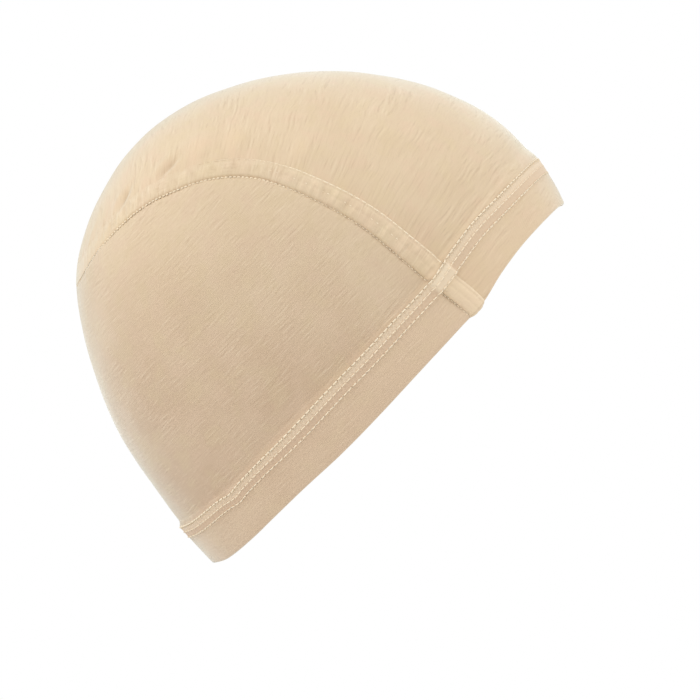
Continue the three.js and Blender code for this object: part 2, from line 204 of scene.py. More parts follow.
# Where something that rises stops being too low: the span from low to high, halved many times.
def halved(isBelow, low, high):
    for _ in range(halvings):
        middle = (low + high) / 2
        below = isBelow(middle)
        low, high = np.where(below, middle, low), np.where(below, high, middle)
    return (low + high) / 2


# Direction whose height is share * depth of the hem + extra.
def hemDirection(bearing, share, extra=0):
    bearing, share, extra = np.broadcast_arrays(np.asarray(bearing, float), share, extra)
    wanted = share * hemDepthAt(bearing) + extra
    low, high = np.full(bearing.shape, -65.0), np.full(bearing.shape, 60.0)
    return directionAt(bearing, halved(lambda e: heightOf(directionAt(bearing, e)) < wanted, low, high))


jointRows = [(k / (len(jointTable) - 1), *row) for k, row in enumerate(jointTable)]


# The joint on the right side, along from 0 under the rim to 1 at the middle of the back.
def jointDirection(along):
    return directionAt(readTable(jointRows, along, 1), readTable(jointRows, along, 2))


# Where the joint is at a height of share * depth + extra.
def jointAtHem(share, extra=0):
    share, extra = np.broadcast_arrays(np.asarray(share, float), extra)

    def isBelow(along):
        direction = jointDirection(along)
        return heightOf(direction) < share * hemDepthAt(bearingOf(direction)) + extra
    return halved(isBelow, np.zeros(share.shape), np.full(share.shape, turnShare))


# The joint's bearing at that height.
def jointBearing(share, extra=0):
    return bearingOf(jointDirection(jointAtHem(share, extra)))


mirror = np.array([-1.0, 1, 1])


# A step from the joint, square to it and along the head: positive goes toward the crown.
def besideJoint(along, distance):
    along = np.asarray(along, float)
    start = jointDirection(np.maximum(along - shortStep, 0))
    end = jointDirection(np.minimum(along + shortStep, 1))
    end = np.where((along > 1 - shortStep)[..., None], start * mirror, end)
    here = jointDirection(along)
    aside = unit(np.cross(unit(headPoint(end) - headPoint(start)), outward(here)))
    return unit(headPoint(here) + aside * np.asarray(distance)[..., None] - headCentre)


# Degrees of bearing in one millimetre along the hem: 1 / distance from the rim's axis.
def bearingStep(direction):
    return np.degrees(1 / (reach(direction) * np.sqrt(1 - (direction @ rimUp) ** 2)))


# A turn's match on the right side: the turn itself up to 2, and 4 - turn beyond.
def foldTurn(turn):
    return np.where(turn <= 2, turn, 4 - turn)


# A place in the hem: turn runs 0 at the brow, 1 at the right joint, 2 at the nape, 3 at the left
# joint and 4 at the brow again.
def hemPlace(turn, share, extra=0):
    turn = np.mod(np.asarray(turn, float), 4)
    folded = foldTurn(turn)
    edge = jointBearing(share, extra)
    bearing = np.where(folded <= 1, folded * edge, edge + (180 - edge) * (folded - 1))
    place = hemDirection(bearing, share, extra)
    return place * np.where((turn <= 2)[..., None], 1, mirror)


# Length run through at each point of a row: the running sum of its steps.
def runAlong(points):
    return np.concatenate([[0], np.cumsum(np.linalg.norm(np.diff(points, axis=0), axis=-1))])


# Places along a path that are evenly spaced on the head: its length inverted by interpolation.
def evenOn(pathOf, start, end, count, fine=900):
    along = np.linspace(start, end, fine)
    length = runAlong(headPoint(pathOf(along)))
    return np.interp(np.linspace(0, length[-1], count + 1), length, along), length[-1]


# The same, one pitch apart.
def pitched(pathOf, start, end, pitch):
    _, length = evenOn(pathOf, start, end, 1)
    return evenOn(pathOf, start, end, int(length / pitch))[0]


# How far the cloth stands off the head.

# Soft ripples that the seam draws up in the crown panel: share of the way along the joint,
# distance from it, half length, half width and rise in mm, and turn from square to it.
ripples = [
    (0.45, 15.5, 8.1, 4.4, 0.6, 0),
    (0.56, 16.3, 8.9, 4.4, 0.7, 0),
    (0.62, 14.8, 7.4, 5.2, 0.55, -10),
    (0.676, 11.4, 4.8, 1.5, -1.0, -55),
    (0.69, 13.6, 5.2, 2.0, 0.34, -52),
    (0.766, 10.4, 4.0, 1.4, -0.9, -45),
    (0.782, 12.2, 4.4, 1.8, 0.3, -42),
    (0.85, 11, 4.5, 2, 0.26, -40),
    (0.6, 10.5, 3.5, 1.4, -0.26, -70),
    (0.53, 10.8, 4.2, 1.5, -0.24, 10),
    (0.47, 11.5, 4.6, 1.3, -0.2, 5),
]


# Sum over the ripples of rise * exp(-(run / half length)^2 - (aside / half width)^2).
def rippleLift(direction):
    here = headPoint(direction * np.where(direction[..., :1] > 0, mirror, 1))
    lift = np.zeros(direction.shape[:-1])
    for along, distance, halfLength, halfWidth, rise, turn in ripples:
        foot = headPoint(jointDirection(np.array(along)))
        middle = headPoint(besideJoint(along, distance))
        normal = outward(jointDirection(np.array(along)))
        across = unit(middle - foot)
        swing = math.radians(turn)
        across = across * math.cos(swing) + np.cross(normal, across) * math.sin(swing)
        offset = here - middle
        run = offset @ across
        aside = np.sqrt(np.maximum(np.sum(offset**2, -1) - run**2, 0))
        lift += rise * np.exp(-((run / halfLength) ** 2) - (aside / halfWidth) ** 2)
    return lift


# Slow waves through space: turn per mm in each direction, start and height in mm
slowWaves = [
    ((0.21, 0.11, 0.17), 0.4, 0.05), ((-0.16, 0.23, 0.05), 1.9, 0.05),
    ((0.09, -0.2, 0.27), 3.1, 0.04), ((0.37, 0.13, -0.31), 5.2, 0.025),
    ((-0.4, 0.35, 0.22), 0.8, 0.02),
]


# Unevenness of stretched cloth: the sum of height * sin(place . wave + start).
def unevenness(points):
    return sum(size * np.sin(points @ np.array(wave) + start) for wave, start, size in slowWaves)


# Lift of a panel's inner face: the turned hem under it, the step above that, and its ripples.
def panelLift(direction):
    bearing = bearingOf(direction)
    over = heightOf(direction) - hemDepthAt(bearing)
    brow = 1 - smooth(np.abs(bearing) / cloth["browReach"])
    climb = cloth["hemStep"] + cloth["browClimb"] * brow
    step = hemLift * (1 - smooth(over / climb))
    return step + rippleLift(direction)


# Meshes.

# Puts new data into the scene as an object at the origin.
def placed(name, data):
    thing = bpy.data.objects.new(name, data)
    bpy.context.scene.collection.objects.link(thing)
    return thing


# Triangles of a grid of corner numbers, two for each cell.
def gridTriangles(index):
    a, b, c, d = index[:-1, :-1], index[:-1, 1:], index[1:, 1:], index[1:, :-1]
    return np.concatenate([np.stack(t, -1).reshape(-1, 3) for t in ((a, b, c), (a, c, d))])


# Corners nearer than a thousandth of a millimetre become one, and flat triangles go.
def weld(points, triangles):
    keys = np.round(points * 1000).astype(np.int64)
    _, first, back = np.unique(keys, axis=0, return_index=True, return_inverse=True)
    triangles = back.ravel()[triangles]
    real = (triangles[:, 0] != triangles[:, 1]) & (triangles[:, 1] != triangles[:, 2])
    return first, triangles[real & (triangles[:, 0] != triangles[:, 2])]


# Six times the volume inside: the sum of a . (b x c) over the triangles.
def volumeOf(points, triangles):
    a, b, c = (points[triangles[:, k]] for k in range(3))
    return np.sum(a * np.cross(b, c))


# A mesh object at the origin from corners in mm, triangles and one UV for each corner.
def makePiece(name, points, triangles, uv, node, slot, material):
    if volumeOf(points - points.mean(0), triangles) < 0:
        triangles = triangles[:, ::-1]
    triangles = np.ascontiguousarray(triangles, dtype=np.int32)
    mesh = bpy.data.meshes.new(name)
    mesh.vertices.add(len(points))
    mesh.vertices.foreach_set("co", (points * 0.001).astype(np.float32).ravel())
    mesh.loops.add(triangles.size)
    mesh.loops.foreach_set("vertex_index", triangles.ravel())
    mesh.polygons.add(len(triangles))
    mesh.polygons.foreach_set("loop_start", np.arange(0, triangles.size, 3, dtype=np.int32))
    mesh.polygons.foreach_set("use_smooth", np.ones(len(triangles), bool))
    mesh.update(calc_edges=True)
    layer = mesh.uv_layers.new(name="weave")
    cornerUv = (uv[:, :2] * 0.001)[triangles.ravel()]
    layer.data.foreach_set("uv", cornerUv.astype(np.float32).ravel())
    if uv.shape[1] > 2:
        crease = mesh.attributes.new("crease", "FLOAT", "POINT")
        crease.data.foreach_set("value", uv[:, 2].astype(np.float32))
    mesh.materials.append(material)
    piece = placed(name, mesh)
    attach(piece, "root")
    if node:
        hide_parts(node)
    print(name, len(points), "corners", len(triangles), "triangles")
    return piece


# Adds a third column to the UV: painted light and shade, from -1 for painted light on a ridge to 1 for
# painted shade deep in a fold. The doubled hem and the threads' crossing of the welt are made lighter
# through it too.
def creased(uv, crease):
    return np.concatenate([uv, np.clip(crease, -1, 1)[..., None] + 0 * uv[..., :1]], -1)


# A closed sheet of cloth from patches of (outer points, inner points, uv). The faces' free edges
# are those that no face uses the other way round, and a wall joins the two sides there.
def clothSheet(patches):
    outer = np.concatenate([p[0].reshape(-1, 3) for p in patches])
    inner = np.concatenate([p[1].reshape(-1, 3) for p in patches])
    uv = np.concatenate([p[2].reshape(-1, 3) for p in patches])
    starts = np.cumsum([0] + [p[0][..., 0].size for p in patches])
    triangles = []
    for start, (top, _, _) in zip(starts, patches):
        corners = gridTriangles(start + np.arange(top[..., 0].size).reshape(top.shape[:2]))
        a, b, c = (outer[corners[:, k]] for k in range(3))
        out = np.sum(np.cross(b - a, c - a) * (a - headCentre))
        triangles.append(corners if out > 0 else corners[:, ::-1])
    first, faces = weld(outer, np.concatenate(triangles))
    outer, inner, uv = outer[first], inner[first], uv[first]
    count = len(outer)
    edges = np.concatenate([faces[:, [0, 1]], faces[:, [1, 2]], faces[:, [2, 0]]])
    used = edges[:, 0] * count + edges[:, 1]
    free = edges[~np.isin(edges[:, 1] * count + edges[:, 0], used)]
    p, q = free.T
    walls = [np.stack([q, p, p + count], 1), np.stack([q, p + count, q + count], 1)]
    points = np.concatenate([outer, inner])
    return points, np.concatenate([faces, faces[:, ::-1] + count, *walls]), np.concatenate([uv, uv])


# A solid strip through sections (n, m, 3), closed round each section, and either joined end to
# start or closed by a fan at both ends.
def solidStrip(sections, uv, ring):
    n, m = sections.shape[:2]
    rows = np.arange(n + 1) % n if ring else np.arange(n)
    index = rows[:, None] * m + np.arange(m + 1)[None] % m
    triangles = [gridTriangles(index)]
    points, flat = sections.reshape(-1, 3), uv.reshape(-1, uv.shape[-1])
    if not ring:
        for row, turn in ((0, 1), (n - 1, -1)):
            loop = index[row]
            middle = np.full(m, len(points))
            triangles.append(np.stack([middle, loop[:-1], loop[1:]], 1)[:, ::turn])
            points = np.concatenate([points, sections[row].mean(0)[None]])
            flat = np.concatenate([flat, uv[row].mean(0)[None]])
    return points, np.concatenate(triangles), flat


# Threads: rings of a small radius round paths (count, rings, 3). Corner = path + radius *
# (cos(a)*aside + sin(a)*up). An open thread has no radius at its two ends, which closes it, and a
# closed one goes on from its last ring to its first.
def threadTubes(paths, up, radius, sides=6, closed=False):
    count, rings = paths.shape[:2]
    if closed:
        heading = unit(np.roll(paths, -1, 1) - np.roll(paths, 1, 1))
    else:
        heading = unit(np.gradient(paths, axis=1))
    aside = unit(np.cross(heading, up))
    over = np.cross(aside, heading)
    angle = 2 * math.pi * np.arange(sides) / sides
    spread = np.cos(angle)[:, None] * aside[:, :, None] + np.sin(angle)[:, None] * over[:, :, None]
    corners = paths[:, :, None] + spread * np.asarray(radius)[..., None, None]
    run = runAlong(paths[0])[None, :, None] + 7.0 * np.arange(count)[:, None, None]
    uv = np.stack(np.broadcast_arrays(np.arange(sides) / sides, run), -1)
    rowNumbers = np.arange(rings + 1) % rings if closed else np.arange(rings)
    one = rowNumbers[:, None] * sides + np.arange(sides + 1)[None] % sides
    triangles = gridTriangles(one)
    triangles = (triangles[None] + (np.arange(count) * rings * sides)[:, None, None]).reshape(-1, 3)
    points, uv = corners.reshape(-1, 3), uv.reshape(-1, 2)
    first, triangles = weld(points, triangles)
    return points[first], triangles, uv[first]


# Lines of the knit, as UV in millimetres: across the streaks, then along them.

knit = {
    "fanPivot": (67.4, -209.8),  # y and z of the line that the crown panel's streaks fan out from
    "fanReach": 190,
    "fanNarrowing": 0.42,  # how fast the streaks of the crown come together toward the back
    "ringReach": 85,
}


# Crown: planes through a line at the nape cut the streaks, so u = angle round it * reach, and
# v = angle to the side * reach.
def crownWeave(points):
    back, up = points[..., 1] - knit["fanPivot"][0], points[..., 2] - knit["fanPivot"][1]
    u = knit["fanReach"] * np.arctan2(up, -back)
    v = knit["ringReach"] * np.arctan2(points[..., 0], knit["fanNarrowing"] * np.hypot(back, up))
    return np.stack([u, v], -1)


# Sides and hem: the streaks run level with the rim, so u = height over it, v = bearing * reach.
def sideWeave(points):
    direction = unit(points - headCentre)
    bearing = bearingOf(direction)
    v = knit["ringReach"] * np.radians(np.where(bearing < 0, bearing + 360, bearing))
    return np.stack([heightOf(direction), v], -1)


# Materials.


# A socket of a node tree. Sums and products on it add Math nodes.
class Signal:
    def __init__(self, paint, socket):
        self.paint, self.socket = paint, socket

    def join(self, operation, *others):
        values = {k: other for k, other in enumerate((self, *others))}
        return self.paint.add("ShaderNodeMath", {"operation": operation}, values)

    def turned(self, operation, other):
        return self.paint.add("ShaderNodeMath", {"operation": operation}, {0: other, 1: self})

    def __add__(self, other): return self.join("ADD", other)
    def __radd__(self, other): return self.turned("ADD", other)
    def __sub__(self, other): return self.join("SUBTRACT", other)
    def __rsub__(self, other): return self.turned("SUBTRACT", other)
    def __mul__(self, other): return self.join("MULTIPLY", other)
    def sin(self): return self.join("SINE")
    def size(self): return self.join("ABSOLUTE")

    # 0 below low, 1 above high, and smooth between.
    def ease(self, low, high):
        return self.paint.add(
            "ShaderNodeMapRange", {"interpolation_type": "SMOOTHSTEP"},
            {"Value": self, "From Min": low, "From Max": high})


# A material, or the world round the cap, and the nodes that are added to it.
class Paint:
    def __init__(self, name, world=False):
        self.owner = bpy.data.worlds.new(name) if world else bpy.data.materials.new(name)
        self.owner.use_nodes = True
        self.tree = self.owner.node_tree
        self.tree.nodes.clear()

    # One node: its type, its settings, then the values or links of its inputs.
    def add(self, kind, settings=None, values=None, output=0):
        node = self.tree.nodes.new(kind)
        for key, value in (settings or {}).items():
            setattr(node, key, value)
        for key, value in (values or {}).items():
            if isinstance(value, Signal):
                self.tree.links.new(value.socket, node.inputs[key])
            else:
                node.inputs[key].default_value = value
        return Signal(self, node.outputs[output]) if len(node.outputs) else None

    def mix(self, factor, first, second):
        return self.add("ShaderNodeMix", {"data_type": "RGBA"}, {0: factor, 6: first, 7: second}, 2)

    def weave(self):
        uv = self.add("ShaderNodeUVMap", {"uv_map": "weave"})
        return [self.add("ShaderNodeSeparateXYZ", None, {0: uv}, part) for part in (0, 1)]

    def crease(self):
        return self.add("ShaderNodeAttribute", {"attribute_name": "crease"}, None, 2)

    def place(self):
        return self.add("ShaderNodeTexCoord", None, None, 3)

    # 0 low on the cap and 1 high on it, for the painted shade that darkens the lower parts.
    def height(self):
        z = self.add("ShaderNodeSeparateXYZ", None, {0: self.place()}, 2)
        return z.ease(*heightSpan)

    def vector(self, x, y):
        return self.add("ShaderNodeCombineXYZ", None, {0: x, 1: y})

    def noise(self, vector, scale, detail=2.0, roughness=0.5):
        return self.add(
            "ShaderNodeTexNoise", None,
            {"Vector": vector, "Scale": scale, "Detail": detail, "Roughness": roughness})

    def finish(self, colour, height, look):
        bump = self.add(
            "ShaderNodeBump", None,
            {"Strength": look["bump"], "Distance": look["bumpDepth"], "Height": height})
        shader = self.add("ShaderNodeBsdfPrincipled", None, {
            "Base Color": colour, "Roughness": look["roughness"], "Normal": bump,
            "Specular IOR Level": look["specular"], "Sheen Weight": look["sheen"],
            "Sheen Roughness": look["sheenRoughness"], "Sheen Tint": look["sheenTint"]})
        self.add("ShaderNodeOutputMaterial", None, {0: shader})
        return self.owner


# painted shade: over this span of z the darker low colours give way to the high ones
heightSpan = (-0.15, -0.02)  # z where the low colours give way to the high ones


# Screen values 0-255 to the linear ones that nodes use: ((c/255 + 0.055) / 1.055)^2.4.
def colour(red, green, blue):
    linear = [((c / 255 + 0.055) / 1.055) ** 2.4 for c in (red, green, blue)]
    return (*linear, 1)


# Colours of each knit. base and low: the ground high and low on the cap, low darker as painted shade.
# dark: painted shade in folds, in the joint and beside the streaks, and the fuzz. light: painted light
# on ridges, and the lighter doubled hem. pale: painted light beside the streaks, and the pale mottling.
# rose and straw: tone that changes at random.
jerseyLooks = {
    "crown": {
        "base": colour(219, 196, 165), "low": colour(216, 188, 155), "light": colour(238, 210, 176),
        "pale": colour(240, 222, 194), "dark": colour(184, 157, 126),
        "rose": colour(225, 195, 168), "straw": colour(220, 199, 161),
        "streakWide": 1.5, "streakLong": 9, "drift": 0.003, "paleShare": 0.28, "darkShare": 0.32,
    },
    "side": {
        "base": colour(220, 198, 167), "low": colour(203, 176, 149), "light": colour(238, 212, 182),
        "pale": colour(240, 222, 195), "dark": colour(178, 150, 122),
        "rose": colour(216, 189, 164), "straw": colour(212, 191, 156),
        "streakWide": 0.95, "streakLong": 9, "drift": 0.0012, "paleShare": 0.3, "darkShare": 0.26,
    },
    "welt": {
        "base": colour(218, 196, 165), "low": colour(226, 199, 167), "light": colour(244, 220, 188),
        "pale": colour(247, 232, 206), "dark": colour(190, 162, 130),
        "rose": colour(228, 200, 173), "straw": colour(224, 205, 167),
        "streakWide": 1.1, "streakLong": 4, "drift": 0.002, "paleShare": 0.3, "darkShare": 0.3,
    },
    "hem": {
        "base": colour(214, 190, 161), "low": colour(198, 172, 146), "light": colour(230, 208, 178),
        "pale": colour(234, 216, 190), "dark": colour(184, 157, 130),
        "rose": colour(212, 185, 161), "straw": colour(210, 188, 154),
        "streakWide": 1.1, "streakLong": 8, "drift": 0.002, "paleShare": 0.25, "darkShare": 0.22,
    },
}
jerseyFinish = {
    "waleWidth": 0.6, "stitchLength": 0.75,
    "groupScale": 75, "cloudScale": 42, "blushScale": 130, "driftScale": 60,
    "streakFrom": (0.04, 0.17),  # slope of the noise where a streak begins and is full
    "cloudShare": 0.16, "blushShare": 0.3, "fuzzShare": 0.12,
    "columnRelief": 0.22, "loopRelief": 0.1, "streakRelief": 1.25, "fuzzRelief": 0.4,
    # shares of painted shade in folds and of painted light on ridges
    "creaseShade": 0.5, "ridgeLight": 0.6,
    "bump": 0.45, "bumpDepth": 0.00025, "roughness": 0.95, "specular": 0.12,
    "sheen": 0.8, "sheenRoughness": 0.42, "sheenTint": (0.93, 1, 0.96, 1),
}


# Heathered single jersey: short pale and dark dashes drawn out along the wales, over a fine
# relief of wales crossed by V-shaped stitches. Each streak is drawn as a slope of noise across the
# wales, with painted light on one side and painted shade on the other as if raised and lit from
# one side. The ground has painted shade that makes it darker and warmer lower down.
def jersey(name, look):
    paint, cover = Paint(name), jerseyFinish
    across, along = paint.weave()
    place, crease = paint.place(), paint.crease()
    wide, long = 1000 / look["streakWide"], 1000 / look["streakLong"]
    # the drift keeps the streaks from running dead straight
    across = across + paint.noise(place, cover["driftScale"], 1, 0.5) * look["drift"]
    near = paint.noise(paint.vector(across * wide, along * long), 1, 3, 0.6)
    beside = paint.noise(paint.vector(across * wide + 0.4, along * long), 1, 3, 0.6)
    groups = paint.noise(place, cover["groupScale"], 2, 0.6)  # streaks come in groups
    where = 0.3 + groups.ease(0.4, 0.66) * 0.7
    fuzz = paint.noise(paint.vector(across * (wide * 2.6), along * (long * 3.5)), 1, 2, 0.6)
    cloud = paint.noise(place, cover["cloudScale"], 3, 0.55)
    blush = paint.noise(place, cover["blushScale"], 2, 0.5)
    # slope of the streak noise across the wales: its pale side is painted light and its dark side
    # painted shade, as on a raised streak lit from one side
    ridge = near - beside
    shade = paint.mix(paint.height(), look["low"], look["base"])
    for strength, tint in (
            (cloud.ease(0.35, 0.7) * cover["cloudShare"], "pale"),
            (blush.ease(0.5, 0.68) * cover["blushShare"], "rose"),
            ((1 - blush).ease(0.5, 0.68) * cover["blushShare"], "straw"),
            (ridge.ease(*cover["streakFrom"]) * where * look["paleShare"], "pale"),
            ((0 - ridge).ease(*cover["streakFrom"]) * where * look["darkShare"], "dark"),
            (fuzz.ease(0.45, 0.75) * cover["fuzzShare"], "dark"),
            # painted shade in folds, dents and the joint's dip, and painted light on ridges and crests
            (crease.ease(0, 1) * cover["creaseShade"], "dark"),
            ((0 - crease).ease(0, 1) * cover["ridgeLight"], "light")):
        shade = paint.mix(strength, shade, look[tint])
    wale = across * (1000 * math.pi / cover["waleWidth"])
    column = wale.sin().size()
    lean = (wale * 2).sin() * 0.8
    loop = (along * (2000 * math.pi / cover["stitchLength"]) + lean).sin()
    relief = column * cover["columnRelief"] + column * loop * cover["loopRelief"]
    relief = relief + near * (where * cover["streakRelief"]) + fuzz * cover["fuzzRelief"]
    return paint.finish(shade, relief, cover)


threadLook = {
    "base": colour(252, 235, 206), "dark": colour(236, 213, 179), "pale": colour(255, 247, 230),
    "plyLength": 0.9,
    "bump": 0.35, "bumpDepth": 0.0001, "roughness": 0.7, "specular": 0.25,
    "sheen": 0.25, "sheenRoughness": 0.4, "sheenTint": (1, 0.97, 0.92, 1),
}


# Plied polyester thread: bright plies wound round it, with painted shade in the grooves between them.
def sewingThread(name, look, tone=0.0):
    paint = Paint(name)
    around, along = paint.weave()
    ply = ((around * 1000 + along * (1000 / look["plyLength"])) * (4 * math.pi)).sin()
    fluff = paint.noise(paint.place(), 2600, 2, 0.6)
    shade = paint.mix(ply.ease(-0.9, 0.7), look["dark"], look["base"])
    shade = paint.mix(fluff.ease(0.35, 0.7) * 0.6, shade, look["pale"])
    shade = paint.mix(tone, shade, look["dark"])
    return paint.finish(shade, ply * 0.5 + fluff * 0.4, look)


bandLook = {
    **threadLook,
    "ground": colour(222, 197, 168), "groundLow": colour(214, 187, 160),
    "dark": colour(192, 165, 136), "pale": colour(246, 229, 201),
    "pitch": 1.5,
    "upperRow": 0.925,  # share of the hem where they lie thickest
    "crossingLight": 0.55,  # they lie thicker where they cross the welt
    "bump": 0.3, "bumpDepth": 0.0002, "roughness": 0.85, "specular": 0.15, "sheen": 0.4,
}


# Cover threads over the knit: slanting lines, thick between the upper rows and thin below.
def coverBand(name, look):
    paint = Paint(name)
    across, along = paint.weave()
    turn = 2000 * math.pi / look["pitch"]
    one = (along * turn + across * (turn * 0.4)).sin()
    two = (along * turn - across * (turn * 0.7) + 1).sin()
    fluff = paint.noise(paint.vector(across * 700, along * 320), 1, 3, 0.65)
    # Painted shade: the ground under the threads is darker lower down.
    ground = paint.mix(paint.height(), look["groundLow"], look["ground"])
    aside = (across * (1000 / cloth["hemDepth"]) - look["upperRow"]).size()
    upper = 1 - aside.ease(0.03, 0.09)
    lines = one.ease(-0.2, 0.95) * 0.6 + two.ease(0.1, 0.95) * 0.4
    shade = paint.mix(lines * (upper * 0.25 + 0.12), ground, look["pale"])
    shade = paint.mix(upper * 0.3, shade, look["pale"])
    crossing = (0 - paint.crease()).ease(0, 1)
    shade = paint.mix(crossing * look["crossingLight"], shade, look["pale"])
    shade = paint.mix(fluff.ease(0.55, 0.72) * 0.18, shade, look["dark"])
    return paint.finish(shade, lines * (upper * 0.8 + 0.3) + fluff * 0.8, look)


crownMaterial = jersey("crown_jersey", jerseyLooks["crown"])
sideMaterial = jersey("side_jersey", jerseyLooks["side"])
weltMaterial = jersey("welt_jersey", jerseyLooks["welt"])
hemMaterial = jersey("hem_jersey", jerseyLooks["hem"])
threadMaterial = sewingThread("sewing_thread", threadLook)
jointThreadMaterial = sewingThread("joint_thread", threadLook, 0.25)
bandMaterial = coverBand("cover_threads", bandLook)
print("materials made")


# Crown and side panels.

panels = {
    "frontColumns": 76,
    "jointColumns": 170,
    "crownRings": 74,
    "ringCrowding": 0.35,  # how much closer the rings lie at the panel's edge
    "crownMiddle": 52,
    "sideColumns": 150,
    "sideRows": 84,
    "hemRows": 20,
    "foldSteps": 7,
    "hemLight": (0.4, 0.55),  # how much lighter the doubled hem looks, in front and behind
    "pucker": 0.1,  # depth of the small draws beside a row of stitches
    "crownPucker": 0.16,  # the same beside the welt
    "underWelt": 7.4,  # width of the crown that the welt covers
    "puckerReach": 3.2,
    "ditch": 0.4,  # how far the panels dip into the joint
    "ditchReach": 1.3,  # on the side panel
    "crownReach": 0.5,  # on the crown panel, under the welt
    "hemDitch": 0.12,  # the same above the first row of the hem
    "hemDitchPlace": 0.9,  # height over the hem where it is deepest, and its half width
    "hemDitchHalf": 0.55,
    "rearStart": 0.76,  # share of the way along the joint where it fades away, and over how much
    "rearSpan": 0.09,
    "beadLength": 1.5,  # spacing of the small draws that show along the joint
}


# Rows of a panel's hem, from the end inside the rim round the fold and up: height share, extra
# and lift for the outer face, then the same for the inner one. The fold is a half circle:
# height = r - r*sin(a), lift = r - r*cos(a), with the layers' mean thickness as its radius.
def hemRows():
    outerRadius = (hemLift + cloth["thickness"]) / 2
    innerRadius = cloth["gap"] / 2
    a = np.linspace(0, math.pi, panels["foldSteps"] + 2)
    tail = np.linspace(cloth["foldTail"], outerRadius, 3)[:-1]
    outer = np.stack([outerRadius - outerRadius * np.sin(a), outerRadius - outerRadius * np.cos(a)])
    inner = np.stack([outerRadius - innerRadius * np.sin(a), outerRadius - innerRadius * np.cos(a)])
    outer = np.concatenate([np.stack([tail, 0 * tail]), outer], 1)
    inner = np.concatenate([np.stack([tail, 0 * tail + cloth["thickness"]]), inner], 1)
    shares = np.linspace(0, 1, panels["hemRows"] + 1)[1:]
    climb = np.linspace(0, 1, 6)[1:] * cloth["hemStep"]
    folded = np.stack([0 * outer[0], outer[0], outer[1], 0 * outer[0], inner[0], inner[1]], 1)
    rising = np.concatenate([
        np.stack([shares, (1 - shares) * outerRadius], 1), np.stack([1 + 0 * climb, climb], 1)])
    return folded, rising


foldedRows, risingRows = hemRows()


# Small draws beside stitches: sines of two lengths along the row, fading with the distance.
def puckers(run, distance, size):
    wave = 0.6 * np.sin(run * 2 * math.pi / 3.9) + 0.4 * np.sin(run * 2 * math.pi / 6.3 + 1)
    return size * wave * np.exp(-np.abs(distance) / panels["puckerReach"])


# The panel's points over a grid of directions: head point + normal * lift.
def panelFaces(direction, extraLift):
    base, normal = headPoint(direction), outward(direction)
    lift = panelLift(direction) + unevenness(base) + extraLift
    lift = lift[..., None]
    return base + normal * (lift + cloth["thickness"]), base + normal * lift


# The joint fades away where the cloth is smooth at the back of the head: 1 in front, 0.15 behind.
def rearFade(along):
    return 1 - 0.85 * smooth((along - panels["rearStart"]) / panels["rearSpan"])


# Depth of the joint's dip: ditch * exp(-(distance / reach)^2).
def jointDip(distance, isSide):
    reachOf = panels["ditchReach"] if isSide else panels["crownReach"]
    return panels["ditch"] * np.exp(-((distance / reachOf) ** 2))


# Shade in the joint's dip: deepest beside the joint, and beaded by the stitches along it.
def jointCrease(distance, run):
    beads = 0.72 + 0.28 * np.sin(run * 2 * math.pi / panels["beadLength"])
    return 0.85 * beads * np.exp(-((distance / (0.65 * panels["ditchReach"])) ** 2))


# The hem part of a panel between two turns, with its fold at the rim.
def hemPatch(turns, isSide, weave):
    folded = foldedRows[:, None, :]
    rising = risingRows[:, None, :]
    outerFold, innerFold = (
        lifted(hemPlace(turns, folded[..., k], folded[..., k + 1]), folded[..., k + 2] + 0 * turns)
        for k in (0, 3))
    share, extra = rising[..., 0], rising[..., 1]
    direction = hemPlace(turns, share, extra)
    base, normal = headPoint(direction), outward(direction)
    run = runAlong(base[-1])
    toRow = (1 - share) * cloth["hemDepth"] + extra
    fade = smooth(share * 4)
    above = extra * (share >= 1)
    fromDitch = above - panels["hemDitchPlace"]
    ditch = panels["hemDitch"] * np.exp(-((fromDitch / panels["hemDitchHalf"]) ** 2)) * (above > 0)
    toJoint = np.minimum(run, run[-1] - run)
    underBand = smooth((share - 0.6) / 0.08) * (1 - smooth((above - 0.3) / 1.2))
    ditch = ditch + jointDip(toJoint, isSide) * fade * (1 - underBand)
    if not isSide:
        run = np.abs(run - run[-1] / 2)  # from the brow, as the crown's own edge is measured
    outer, inner = panelFaces(direction, puckers(run, toRow, panels["pucker"]) * fade - ditch)
    # The unevenness starts above the fold.
    settle = smooth(np.arange(len(risingRows)) / 4)[:, None, None]
    plainLift = panelLift(direction)[..., None]
    outer = outer * settle + (base + normal * (plainLift + cloth["thickness"])) * (1 - settle)
    inner = inner * settle + (base + normal * plainLift) * (1 - settle)
    outer, inner = np.concatenate([outerFold, outer]), np.concatenate([innerFold, inner])
    # Painted shade in the ditch above the first row and, on the side panel, in the joint's dip; the
    # doubled hem is made lighter.
    crease = 0.2 * np.exp(-((fromDitch / 0.6) ** 2)) * (above > 0) + 0 * run
    if isSide:
        crease = crease * 2.5 + jointCrease(toJoint, run) * fade
    crease = np.concatenate([np.zeros((len(foldedRows), len(turns))), crease])
    shares = np.concatenate([0 * foldedRows[:, 0], risingRows[:, 0] + risingRows[:, 1]])[:, None]
    lighter = panels["hemLight"][1 if isSide else 0]
    crease = crease - lighter * (1 - smooth((shares - 1) / 0.5))
    return outer, inner, creased(weave(outer), crease)


stepTop = jointAtHem(1, cloth["hemStep"])


